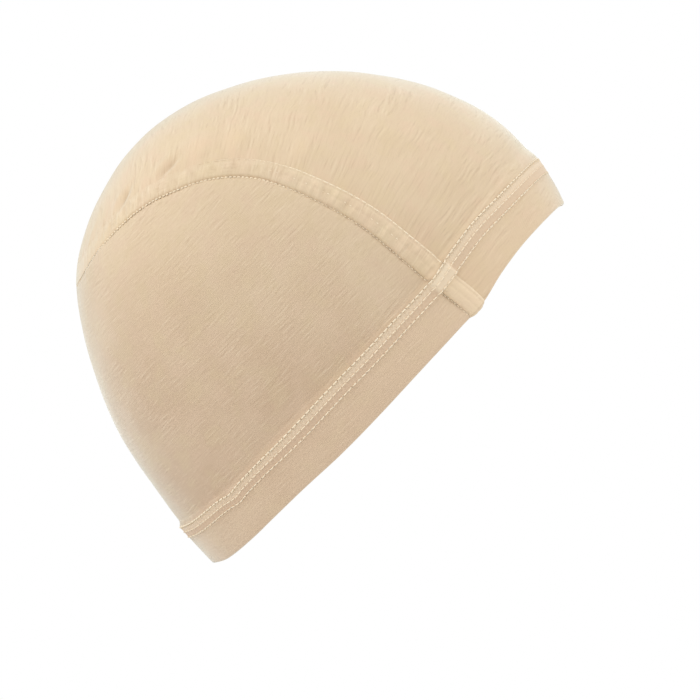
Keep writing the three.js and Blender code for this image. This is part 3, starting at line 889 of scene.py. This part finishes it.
# Crown panel: the apron over the brow's hem, and rings from its edge to its middle, whose
# directions are mix(middle, edge, u + crowding*u*(1 - u)).
def makeCrown():
    turns = np.linspace(-1, 1, 2 * panels["frontColumns"] + 1)
    apron = hemPatch(turns, False, crownWeave)
    half = np.linspace(0, 1, panels["frontColumns"] + 1)
    front = hemPlace(half, 1, cloth["hemStep"])
    joint, _ = evenOn(jointDirection, stepTop, 1, panels["jointColumns"])
    rising = jointDirection(joint[1:])
    right = np.concatenate([front, rising])
    edge = np.concatenate([right, (right * mirror)[-2::-1]])
    u = np.linspace(0, 1, panels["crownRings"] + 1)
    share = u + panels["ringCrowding"] * u * (1 - u)
    middle = directionAt(0, panels["crownMiddle"])
    rings = unit(middle + (edge - middle) * share[:, None, None])
    rings[-1] = edge
    base = headPoint(rings)
    run = runAlong(base[-1])
    run = np.minimum(run, run[-1] - run)
    toEdge = np.linalg.norm(base - base[-1], axis=-1)
    columns = np.arange(len(edge))
    n = panels["frontColumns"]
    atHem = (columns <= n) | (columns >= len(edge) - n - 1)
    draw = np.where(
        atHem, puckers(run, toEdge + cloth["hemStep"], panels["pucker"]),
        puckers(run, np.maximum(toEdge - panels["underWelt"], 0), panels["crownPucker"]))
    draw[-1] = np.where(atHem, puckers(run, cloth["hemStep"], panels["pucker"]), 0)
    edgeAlong = np.concatenate([0 * half, joint[1:]])
    edgeAlong = np.concatenate([edgeAlong, edgeAlong[-2::-1]])
    dip = np.where(atHem, 0, jointDip(toEdge, False) * rearFade(edgeAlong))
    outer, inner = panelFaces(rings, draw - dip)
    # The edge over the hem is the apron's own last row.
    outer[-1, : n + 1], inner[-1, : n + 1] = apron[0][-1, n:], apron[1][-1, n:]
    outer[-1, -n - 1 :], inner[-1, -n - 1 :] = apron[0][-1, : n + 1], apron[1][-1, : n + 1]
    # Painted shade in the ripples' dents and painted light on their crests, and painted light and shade
    # on the puckers.
    crease = -rippleLift(rings) / 1.5 - 1.5 * draw
    crease[-1] = 0
    return clothSheet([apron, (outer, inner, creased(crownWeave(outer), crease))])


# Side panel: the skirt over the hem, and a Coons patch from it up to the joint. The patch blends
# opposite edges both ways, less the corners blended once.
def makeSide():
    turns = np.linspace(1, 3, 2 * panels["sideColumns"] + 1)
    skirt = hemPatch(turns, True, sideWeave)
    low = hemPlace(np.linspace(1, 2, panels["sideColumns"] + 1), 1, cloth["hemStep"])
    rows = panels["sideRows"]
    rising, _ = evenOn(jointDirection, stepTop, turnShare, rows)
    going, _ = evenOn(jointDirection, turnShare, 1, panels["sideColumns"])
    left, top = jointDirection(rising), jointDirection(going)
    left[0] = low[0]
    up = np.linspace(0, 1, rows + 1)[:, None, None]
    over = np.linspace(0, 1, len(low))[None, :, None]
    back = unit(low[-1] + (top[-1] - low[-1]) * up[:, 0])
    right = (
        low * (1 - up) + top * up + left[:, None] * (1 - over) + back[:, None] * over
        - low[0] * (1 - over) * (1 - up) - low[-1] * over * (1 - up)
        - top[0] * (1 - over) * up - top[-1] * over * up)
    right = unit(right)
    whole = np.concatenate([right, (right * mirror)[:, -2::-1]], 1)
    base = headPoint(whole)
    run, runUp, runLow = runAlong(base[-1]), runAlong(base[:, 0])[:, None], runAlong(base[0])
    toTop = np.linalg.norm(base - base[-1], axis=-1)
    toLeft = np.minimum(
        np.linalg.norm(base - base[:, :1], axis=-1), np.linalg.norm(base - base[:, -1:], axis=-1))
    toHem = np.linalg.norm(base - base[0], axis=-1)
    fade = smooth(toHem / 4)
    draw = puckers(run, toTop, panels["pucker"]) + puckers(runUp, toLeft, panels["pucker"])
    draw = draw * fade + puckers(runLow, toHem + cloth["hemStep"], panels["pucker"])
    toJoint = np.minimum(toTop, toLeft)
    topAlong = np.concatenate([going, going[-2::-1]])
    rear = np.where(toTop < toLeft, rearFade(topAlong), 1)
    dip = jointDip(toJoint, True) * np.maximum(fade, toJoint < 1e-6) * rear
    outer, inner = panelFaces(whole, draw - dip)
    outer[0], inner[0] = skirt[0][-1], skirt[1][-1]
    # Painted shade in the joint's dip, beaded by its stitches and faded at the back, and painted light
    # and shade on the puckers.
    crease = np.where(toTop < toLeft, jointCrease(toTop, run), jointCrease(toLeft, runUp)) * rear
    crease = crease * fade - 1.5 * draw
    crease[0] = skirt[2][-1, :, 2]
    return clothSheet([skirt, (outer, inner, creased(sideWeave(outer), crease))])


crownCloth = makePiece("crown_cloth", *makeCrown(), "crown_panel", "jersey", crownMaterial)
sideCloth = makePiece("side_cloth", *makeSide(), "side_panel", "jersey", sideMaterial)


# Turned-up layer of the hem, inside the rim.

hemTurn = {
    "columns": 420,
    "rows": 12,
    "lowExtra": 3.3,  # where it starts over the rim, above the panels' own ends
    "topExtra": -0.3,
    "wave": 0.12,  # unevenness of its cut edge
    "waveTurns": (61, 97),
}


# Turned layer: rows from the fold to the cut edge, whose height over the rim's share wavers by
# share^8 * wave * (sin(61 t) + sin(97 t)) at that edge.
def makeHemTurn():
    turns = np.linspace(0, 4, hemTurn["columns"] + 1)[:-1]
    share = np.linspace(0, 1, hemTurn["rows"] + 1)[:, None]
    extra = hemTurn["lowExtra"] * (1 - share) + hemTurn["topExtra"] * share
    waver = sum(np.sin(turns * often) for often in hemTurn["waveTurns"])
    extra = extra + share**8 * hemTurn["wave"] * waver - 0.2 * share**8
    extra = np.concatenate([extra, extra[:, :1]], 1)
    direction = hemPlace(np.concatenate([turns, turns[:1]]), share, extra)
    base, normal = headPoint(direction), outward(direction)
    outer = base + normal * cloth["thickness"]
    return clothSheet([(outer, base, creased(sideWeave(outer), 0 * share))])


hemCloth = makePiece("hem_turn_cloth", *makeHemTurn(), "hem_band", "jersey", hemMaterial)


# Raised welt over the seam allowance, on the crown side of the joint.

welt = {
    "columns": 720,
    "sectionPoints": 24,
    # share of the way along the joint, width, rise over the crown panel, how far its stitches show
    "table": [
        (0, 7.5, 1.1, 1), (0.12, 7.6, 1.1, 1), (0.17, 8.5, 1.1, 1), (0.3, 8.2, 1.05, 1),
        (0.42, 7.7, 1, 0.8), (0.5, 7.3, 0.75, 0.25), (0.58, 7.2, 0.5, 0.1), (0.7, 7.2, 0.36, 0),
        (0.8, 7.1, 0.2, 0), (0.88, 7, 0.1, 0), (1, 6.8, 0.05, 0),
    ],
    "edgeSoftness": 3.4,  # higher is a flatter top with a steeper edge
    "backSoftness": 1.7,  # the same toward the back
    "jointSoftness": 2.3,  # the same on the side of the joint
    "stitchInset": 0.5,  # from the upper edge to the upper row of stitches
    "grooveInset": 1.25,  # and to the groove that they draw
    "middleRow": 0.47,  # share of the width where the middle row lies
    "stitchDraw": 0.34,
    # puffs and wrinkles across it: length along it, height, slant
    "puffs": [(4.1, 0.07, 0.6), (6.7, 0.08, -0.9), (2.7, 0.05, 1.5), (9.3, 0.08, 0.4)],
    "wrinkles": [(2.6, 0.06, 1.2), (3.7, 0.07, -2), (1.7, 0.05, 2.6), (7.3, 0.12, 0.5)],
    # small pleats that run along it: share of the way along the joint, length, distance apart, rise
    "pleats": [
        (0.565, 3.4, 1.5, 0.16), (0.6, 2, 1.2, 0.1), (0.655, 2.4, 1.3, 0.12), (0.694, 3, 1.3, 0.17),
        (0.75, 2.2, 1.1, 0.1), (0.795, 3, 1.3, 0.15),
    ],
    # pinches across it: share of the way along the joint, depth, half length, slant
    "pinches": [
        (0.204, 0.2, 0.6, 0.1), (0.222, 0.12, 0.5, 0), (0.255, 0.26, 0.7, 0.15),
        (0.286, 0.22, 0.6, -0.1), (0.329, 0.34, 0.8, 0.2), (0.351, 0.22, 0.6, 0),
        (0.381, 0.32, 0.9, -0.25), (0.399, 0.18, 0.5, 0.1), (0.427, 0.3, 0.7, 0.2),
        (0.46, 0.3, 0.7, -0.1), (0.488, 0.2, 0.9, 0.3), (0.52, 0.15, 0.7, -0.3),
        (0.555, 0.22, 0.8, 0.2), (0.605, 0.12, 0.8, -0.2), (0.64, 0.14, 0.7, 0.3),
        (0.68, 0.1, 0.8, 0), (0.72, 0.12, 0.8, -0.3), (0.77, 0.1, 0.8, 0.2),
    ],
    "jointLength": 260,
    "seat": 0.02,  # its underside over the crown panel, and its top's edge
    "topSeat": 0.05,
    "rimStart": 0.95,  # height over the rim where it leaves the fold
    "foldRows": 8,
    "turnHeight": 15,  # height over the hem by which it has turned square to the joint
}


# Height of the welt over the panel: rise * (1 - |2w - 1|^softness) across it, with grooves along
# its rows of stitches, puffs in front and wrinkles toward the back as slanted sines, and pinches.
# With it comes painted shade in the grooves, the folds and the welt's foot, painted light on the puffs,
# and a lighter colour toward the front.
def weltHeight(along, distance, run):
    width, rise, shown = (readTable(welt["table"], along, k) for k in (1, 2, 3))
    w = np.clip(distance / width, 0, 1)
    softer = (welt["backSoftness"] - welt["edgeSoftness"]) * smooth((along - 0.38) / 0.2)
    upper = welt["edgeSoftness"] + softer
    body = 1 - np.abs(2 * w - 1) ** np.where(w < 0.5, welt["jointSoftness"], upper)
    body = np.where(w < 0.5, body, body ** (1 + 0.9 * smooth((along - 0.42) / 0.2)))
    pinch = 0
    for place, depth, half, slant in welt["pinches"]:
        offset = (along - place) * welt["jointLength"] + slant * (distance - width / 2)
        pinch = pinch + depth * np.exp(-((offset / half) ** 2))
    groove = shown * np.exp(-(((distance - width + welt["grooveInset"]) / 0.4) ** 2))
    middle = shown * np.exp(-(((w - welt["middleRow"]) / 0.06) ** 2))
    rough = smooth((along - 0.4) / 0.12)
    uneven = 0
    for weight, waves in ((1 - 0.5 * rough, welt["puffs"]), (rough, welt["wrinkles"])):
        for length, size, slant in waves:
            wave = np.sin(run * 2 * math.pi / length + slant * w * 3 + length)
            uneven = uneven + weight * size * wave
    fade = 1 - 0.9 * smooth((along - 0.8) / 0.08)
    for place, half, apart, size in welt["pleats"]:
        there = np.exp(-(((along - place) * welt["jointLength"] / half) ** 2))
        uneven = uneven + size * there * np.sin(distance * 2 * math.pi / apart + run * 0.3)
    uneven = uneven * np.sin(math.pi * w) - pinch * np.sin(math.pi * w) ** 0.4
    uneven = uneven * smooth((along - 0.1) / 0.06) * fade
    height = (rise - welt["stitchDraw"] * (groove + 0.5 * middle)) * body + uneven * body**0.5
    # foot: painted shade along the welt's foot by the joint; plain: the welt made lighter toward the
    # front
    foot = np.exp(-((distance / 0.7) ** 2)) * (0.5 + 0.5 * np.sin(run * 2 * math.pi / 3.3)) * fade
    plain = np.where(along < 0.5, -0.3 - 0.5 * smooth((0.14 - along) / 0.02), 0)
    plain = plain * (1 - smooth((along - 0.4) / 0.1))
    return height, 0.45 * groove + 0.3 * middle - 2.0 * uneven + 0.5 * foot + plain


# A place beside the joint: level with the hem's rows near the rim, and square to it further up.
def weltPlace(along, distance):
    joint = jointDirection(along)
    height, depth = heightOf(joint), hemDepthAt(bearingOf(joint))
    square = besideJoint(along, distance)
    turned = smooth((height - cloth["hemDepth"] - cloth["hemStep"]) / welt["turnHeight"])
    bearing = bearingOf(joint) - distance * bearingStep(joint)
    inHem = hemDirection(bearing, np.minimum(height / depth, 1), np.maximum(height - depth, 0))
    level = hemDirection(bearing, 0, height)
    level = np.where((height / depth < 1.0 + 1e-9)[..., None], inHem, level)
    return unit(level + (square - level) * turned[..., None])


# Welt: sections over the crown panel, whose corners lie at width * (1 - cos(a)) / 2 from the joint,
# and a few more round the rim on the same half circle as the panels', this much further out.
def makeWelt():
    low = jointAtHem(0, welt["rimStart"])
    along, length = evenOn(jointDirection, low, 1, welt["columns"] // 2)
    run = np.linspace(0, length, len(along))[:, None]
    across = (1 - np.cos(np.linspace(0, math.pi, welt["sectionPoints"]))) / 2
    distance = across[None] * readTable(welt["table"], along, 1)[:, None]
    alongs = along[:, None] + 0 * distance
    direction = weltPlace(alongs, distance)
    base, normal = headPoint(direction), outward(direction)
    lift = panelLift(direction) + unevenness(base) * 0.5 + cloth["thickness"]
    lift = lift - jointDip(distance, False) * rearFade(alongs)
    height, crease = weltHeight(alongs, distance, run)
    top = base + normal * (lift + welt["topSeat"] + height)[..., None]
    bottom = base + normal * (lift + welt["seat"])[..., None]
    radius, rows = (hemLift + cloth["thickness"]) / 2, welt["foldRows"]
    a = np.linspace(math.pi, 0.25 * math.pi, rows + 1)[1:, None]
    flatHeight = height[0] * np.linspace(1, 0.35, rows)[:, None]
    wrapped = []
    for thick in (flatHeight + 0.03, welt["seat"] + 0 * flatHeight):
        outerRadius = radius + thick
        bearing = bearingOf(direction[0])[None] + 0 * a
        place = hemDirection(bearing, 0, radius - outerRadius * np.sin(a))
        wrapped.append(lifted(place, radius - outerRadius * np.cos(a)))
    top = np.concatenate([wrapped[0][::-1], top])
    bottom = np.concatenate([wrapped[1][::-1], bottom])
    right = np.concatenate([top, bottom[:, -2:0:-1]], 1)
    sections = np.concatenate([right, (right * mirror)[-2::-1]])
    shade = np.zeros(right.shape[:2])
    shade[rows:, : crease.shape[1]] = crease
    shade = np.concatenate([shade, shade[-2::-1]])
    return solidStrip(sections, creased(crownWeave(sections), shade), False)


weltCloth = makePiece("seam_welt_cloth", *makeWelt(), "seam_welt", "jersey", weltMaterial)


# Band of cover threads over the turned hem, climbing the welt where they cross.

band = {
    "columns": 900,
    "thickness": 0.2,
    "sectionPoints": 15,
    "crossingRun": 1.6,  # length of the ramp up to the welt, and its height
    "crossingRise": 1.1,
    "rows": (0.995, 0.855, 0.715),  # the needle rows at the side, as shares of the hem's depth
    "lowEdge": 0.7,  # share where the band ends
    "ridge": 0.08,
    "sway": 0.012,  # slow wander of the rows, as a share of the hem's depth
    "browHeight": 0.45,  # share of their height that the threads keep over the brow
    "seat": 0.02,  # underside of the band over the cloth, and its top's edge
    "topSeat": 0.04,
    "seatRun": 0.35,  # ramp of the underside beside the welt
    "seatGap": 0.1,
    "kinkTurn": 1.665,  # where the rows dip toward the rim beside the nape
    "kinkDrop": 0.035,
    "kinkHalf": 0.022,
}


# Height that the welt adds under the threads: smooth ramps before and after its width.
def weltCover(direction, share, run=band["crossingRun"]):
    joint = jointBearing(share)
    aside = (joint - np.abs(bearingOf(direction))) / bearingStep(direction)
    gap = cloth["gap"] if run == band["crossingRun"] else band["seatGap"]
    before = smooth((aside + gap + run) / run)
    after = smooth((readTable(welt["table"], 0, 1) + gap + run - aside) / run)
    return band["crossingRise"] * before * after


# Where a needle row lies: the named shares at the side, drawn in with the band at the brow.
def bandShare(turn, row):
    folded = foldTurn(turn)
    bearing = np.clip(folded, 0, 1) * 55 + np.clip(folded - 1, 0, 1) * 125
    start = rimRead(bearing, 3)
    sway = np.sin(turn * 11.5 + 0.6) + 0.6 * np.sin(turn * 23 + 2)
    kink = band["kinkDrop"] * np.exp(-(((folded - band["kinkTurn"]) / band["kinkHalf"]) ** 2))
    plain = 1 - (1 - start) * (1 - row) / (1 - band["lowEdge"])
    return plain + band["sway"] * sway * smooth((folded - 0.9) / 0.3) - kink


# A point of the band and the normal there: head point + normal * (cloth under it + lift).
def bandPoint(turn, share, lift, run=band["crossingRun"]):
    turn = np.mod(turn, 4)
    direction = hemPlace(turn, share)
    under = panelLift(direction) + cloth["thickness"] + weltCover(direction, share, run)
    base, normal = headPoint(direction), outward(direction)
    over = under + lift * browEase(turn) + 0.5 * unevenness(base)
    return base + normal * over[..., None], normal


# The threads lie flatter where the hem is stretched over the brow.
def browEase(turn):
    risen = smooth((foldTurn(turn) - 0.08) / 0.4)
    return band["browHeight"] + (1 - band["browHeight"]) * risen


# Band: its height across is (thickness * valley + ridge * sum of exp(-(offset / 0.022)^2) at the
# needle rows) * (1 - |offset from its middle / half width|^6).
def makeBand():
    turns = np.linspace(0, 4, band["columns"] + 1)[:-1]
    row = np.linspace(1, band["lowEdge"], band["sectionPoints"])[None]
    share = bandShare(turns[:, None], row)
    ridges = sum(np.exp(-(((row - r) / 0.022) ** 2)) for r in band["rows"])
    edge = 1 - (np.abs(row - 0.85) / 0.15) ** 6
    valley = 0.6 + 0.25 * np.exp(-(((row - 0.92) / 0.05) ** 2))
    height = (band["thickness"] * valley + band["ridge"] * ridges) * edge
    top, _ = bandPoint(turns[:, None], share, band["topSeat"] + height)
    bottom, _ = bandPoint(turns[:, None], share, band["seat"] + 0 * height, band["seatRun"])
    sections = np.concatenate([top, bottom[:, -2:0:-1]], 1)
    length = np.linalg.norm(np.diff(top[:, 0], axis=0), axis=-1).sum()
    across = np.concatenate([row[0], row[0, -2:0:-1]]) * cloth["hemDepth"]
    uv = np.stack(np.broadcast_arrays(across[None], (turns / 4 * length)[:, None]), -1)
    cover = -weltCover(hemPlace(turns[:, None], share), share) / band["crossingRise"]
    cover = np.concatenate([cover, cover[:, -2:0:-1]], 1)
    return solidStrip(sections, creased(uv, cover), True)


makePiece("cover_thread_band", *makeBand(), "hem_coverstitch", "thread", bandMaterial)


# Stitches.

stitches = {
    "hemPitch": 2.3,
    "hemRadii": (0.28, 0.21, 0.22),
    "hemGaps": (0, 0, 0.2),
    "jointPitch": 1.5,
    "jointRadius": 0.3,
    "topPitch": 2.4,
    "topRadius": 0.24,
    "dotPitch": 2.1,  # small stitches along the middle of the welt
    "dotRadius": 0.2,
    "dotSpan": (0.2, 0.5),
    "jointGap": 0.4,
    "topGap": 0.06,
    "dotGap": 0.5,
    "arch": 0.12,
    "dive": 0.08,
    "rings": 7,
    "hemFine": 1600,  # points by which the hem's length is measured
    "seat": 0.6,  # share of the band's thickness at which the needle threads lie
}


# A piece of threads from their paths, the normals under them and their radii.
def makeThreads(name, paths, normals, radii, material=threadMaterial, sides=6, closed=False):
    tubes = threadTubes(paths, normals, radii, sides, closed)
    return makePiece(name, *tubes, None, "thread", material)


# Threads from one place to the next of a row: they arch by arch*sin(pi*t) and dive in at their
# ends, and their radius is radius * (1 - |2t - 1|^8)^0.5, so it closes there.
def stitchRow(pointAt, positions, gap, radius, arch, dive):
    t = np.linspace(0, 1, stitches["rings"])
    span = positions[1:] - positions[:-1]
    start = positions[:-1, None] + span[:, None] * (gap / 2 + (1 - gap) * t)
    rise = arch * np.sin(math.pi * t) - dive * np.abs(2 * t - 1) ** 4
    points, normals = pointAt(start, np.broadcast_to(rise, start.shape))
    thick = radius * np.sqrt(np.maximum(1 - np.abs(2 * t - 1) ** 8, 0))
    return points, normals, np.broadcast_to(thick, start.shape)


# Stitches of the needle rows: evenly spaced round the hem, on the ridges of the band.
def makeHemStitches():
    parts = []
    for number, row in enumerate(band["rows"]):
        def ringPath(turn, row=row):
            return hemPlace(turn, bandShare(turn, row))

        def pointAt(turn, rise, row=row):
            turn = np.mod(turn, 4)
            lift = band["thickness"] * stitches["seat"] + band["ridge"] + band["topSeat"] + rise
            return bandPoint(turn, bandShare(turn, row), lift)
        _, length = evenOn(ringPath, 0, 4, 1, stitches["hemFine"])
        count = int(round(length / stitches["hemPitch"]))
        positions, _ = evenOn(ringPath, 0, 4, count, stitches["hemFine"])
        positions = positions + 0.002 * number  # so that the rows aren't in step
        gap, radius = stitches["hemGaps"][number], stitches["hemRadii"][number]
        points, normal, thick = stitchRow(
            pointAt, positions, gap, radius, stitches["arch"], stitches["dive"])
        parts.append((points, normal, thick * browEase(np.mod(positions[:-1], 4))[:, None]))
    return [np.concatenate(part) for part in zip(*parts)]


makeThreads("hem_needle_threads", *makeHemStitches())


# The same threads on the left side too.
def bothSides(points, normals, radii):
    pairs = ((points, points * mirror), (normals, normals * mirror), (radii, radii))
    return [np.concatenate(pair) for pair in pairs]


# Stitches that show in the joint, just on the side panel's side of it. They are half as thick in
# front, and thin out at the back.
def makeJointStitches():
    positions = pitched(jointDirection, jointAtHem(0, 1.2), 1, stitches["jointPitch"])

    def pointAt(along, rise):
        direction = besideJoint(along, -0.35 + 0 * along)
        base, normal = headPoint(direction), outward(direction)
        lift = panelLift(direction) + cloth["thickness"] - 0.16
        return base + normal * (lift + rise)[..., None], normal
    points, normal, thick = stitchRow(
        pointAt, positions, stitches["jointGap"], stitches["jointRadius"], 0.16, 0.25)
    along = positions[:-1]
    shown = 0.5 + 0.5 * smooth((along - 0.4) / 0.08) - 0.6 * smooth((along - 0.8) / 0.06)
    return bothSides(points, normal, thick * shown[:, None])


jointThreads = makeThreads("joint_threads", *makeJointStitches(), jointThreadMaterial)


# Stitches on the welt: a long row by its upper edge, or short ones along its middle.
def makeTopStitches(start, end, pitch, radius, gap, middle):
    positions = pitched(jointDirection, start, end, pitch)

    def pointAt(along, rise):
        width = readTable(welt["table"], along, 1)
        distance = width * welt["middleRow"] if middle else width - welt["stitchInset"]
        direction = weltPlace(along, distance)
        base, normal = headPoint(direction), outward(direction)
        lift = panelLift(direction) + cloth["thickness"] + unevenness(base) * 0.5
        lift = lift + np.maximum(weltHeight(along, distance, 0 * along)[0], 0.15)
        return base + normal * (lift + rise)[..., None], normal
    points, normal, thick = stitchRow(pointAt, positions, gap, radius, 0.1, 0.2)
    thick = thick * (0.2 + 0.8 * readTable(welt["table"], positions[:-1], 3))[:, None]
    return bothSides(points, normal, thick)


topRow = makeTopStitches(
    jointAtHem(1, 1.2), 0.62, stitches["topPitch"], stitches["topRadius"], stitches["topGap"], False)
dotRow = makeTopStitches(
    *stitches["dotSpan"], stitches["dotPitch"], stitches["dotRadius"], stitches["dotGap"], True)
topThreads = makeThreads("welt_threads", *[np.concatenate(pair) for pair in zip(topRow, dotRow)])


loopers = {
    "hemLength": 520,
    "pitch": 1.7,
    "insidePitch": 2.3,
    "radius": 0.09,
    "insideRadius": 0.16,
    "pointsPerTurn": 8,
    "sides": 5,
    "rows": ((0.99, 0.945, 0), (0.73, 0.7, 0.5)),  # needle rows joined, and phase
    "seat": 0.62,  # share of the band's thickness at which they lie
    "lift": 0.06,
    "arch": 0.08,
}


# Turn and swing of a zigzag round the hem: swing = arcsin(sin(run)) * 2 / pi, from -1 to 1.
def zigzag(pitch, phase):
    turns = int(loopers["hemLength"] / pitch)
    t = np.linspace(0, 4, turns * loopers["pointsPerTurn"] + 1)[:-1]
    return t, np.arcsin(np.sin(t / 4 * turns * 2 * math.pi + phase * math.pi)) / (math.pi / 2)


# Closed looper threads from lists of their points and normals.
def makeLoopers(name, threads, radius):
    paths, normals = (np.stack(part) for part in zip(*threads))
    radii = np.full(paths.shape[:2], radius)
    return makeThreads(name, paths, normals, radii, threadMaterial, loopers["sides"], True)


# On the outside their share of the hem swings between two needle rows: middle + half * swing.
def outsideLooper(high, low, phase):
    t, swing = zigzag(loopers["pitch"], phase)
    row = (high + low) / 2 + (high - low) / 2 * swing
    lift = band["thickness"] * loopers["seat"] + loopers["lift"] + loopers["arch"] * (1 - swing**2)
    return bandPoint(t, bandShare(t, row), lift)


# Inside the cap they swing over the cut edge of the turned layer, and pass over each other.
def insideLooper(phase):
    t, swing = zigzag(loopers["insidePitch"], phase)
    direction = hemPlace(t, bandShare(t, 0.86 + 0.15 * swing))
    lift = -0.2 - 0.12 * (1 - swing**2) * (1 if phase else -1)
    return lifted(direction, lift), -outward(direction)


makeLoopers("looper_threads", [outsideLooper(*row) for row in loopers["rows"]], loopers["radius"])
insideThreads = makeLoopers(
    "inside_looper_threads", [insideLooper(phase) for phase in (0, 1)], loopers["insideRadius"])


# Floor, light and camera.

stageLook = {
    "floorHeight": -0.45,
    "floorHalf": 1.6,
    "floorColour": (0.78, 0.775, 0.76, 1),
    "floorRoughness": 0.9,
    "farLight": 1.0,  # strength of the surroundings right behind the cap, and everywhere else
    "nearLight": 0.82,
    "farFrom": (0.5, 0.95),  # x of the direction where one gives way to the other
    # lights: name, place, size, strength in watts, colour
    "lights": [
        ("key", (-0.7, 0.8, 0.9), 0.5, 6.5, (1, 1, 0.99)),
        ("behind", (0.3, 1.4, 0.5), 1.2, 2, (1, 1, 0.99)),
        ("ahead", (0.1, -1.5, 0.5), 1.2, 7, (1, 1, 0.99)),
    ],
}


# Floor, even white surroundings that are brighter right behind the cap, and the lights, each
# turned to the middle of the head.
def makeStage():
    half, z = stageLook["floorHalf"], stageLook["floorHeight"]
    mesh = bpy.data.meshes.new("floor")
    corners = [(-half, -half, z), (half, -half, z), (half, half, z), (-half, half, z)]
    mesh.from_pydata(corners, [], [(0, 1, 2, 3)])
    paint = Paint("floor_paint")
    surface = {"Base Color": stageLook["floorColour"], "Roughness": stageLook["floorRoughness"]}
    shader = paint.add("ShaderNodeBsdfPrincipled", None, surface)
    paint.add("ShaderNodeOutputMaterial", None, {0: shader})
    mesh.materials.append(paint.owner)
    placed("floor", mesh)
    studio = Paint("studio", world=True)
    across = studio.add("ShaderNodeSeparateXYZ", None, {0: studio.add("ShaderNodeTexCoord")})
    strength = studio.add("ShaderNodeMapRange", {"interpolation_type": "SMOOTHSTEP"}, {
        "Value": across, "From Min": stageLook["farFrom"][0], "From Max": stageLook["farFrom"][1],
        "To Min": stageLook["nearLight"], "To Max": stageLook["farLight"]})
    sky = studio.add("ShaderNodeBackground", None, {"Color": (1, 1, 1, 1), "Strength": strength})
    studio.add("ShaderNodeOutputWorld", None, {0: sky})
    bpy.context.scene.world = studio.owner
    target = headCentre * 0.001
    for name, place, size, strength, tint in stageLook["lights"]:
        light = bpy.data.lights.new(name, "AREA")
        light.size, light.energy, light.color = size, strength, tint
        lamp = placed(name, light)
        lamp.location = place
        toward = Vector(target) - Vector(place)
        lamp.rotation_euler = toward.to_track_quat("-Z", "Y").to_euler()


cameraPlace = {
    "location": (-1.1, -0.007575, -0.1033),
    "turn": (90, 0, -90),
    "sensor": 36,
    "field": 0.2625,  # width of the view at the head's middle plane
}


# Camera: focal length = sensor * distance / width of the view there.
def makeCamera():
    lens = bpy.data.cameras.new("camera")
    lens.sensor_width = cameraPlace["sensor"]
    lens.lens = cameraPlace["sensor"] * -cameraPlace["location"][0] / cameraPlace["field"]
    camera = placed("camera", lens)
    camera.location = cameraPlace["location"]
    camera.rotation_euler = [math.radians(a) for a in cameraPlace["turn"]]
    bpy.context.scene.camera = camera


makeStage()
makeCamera()
bpy.context.scene.view_settings.view_transform = "Standard"
print("stage and camera made")
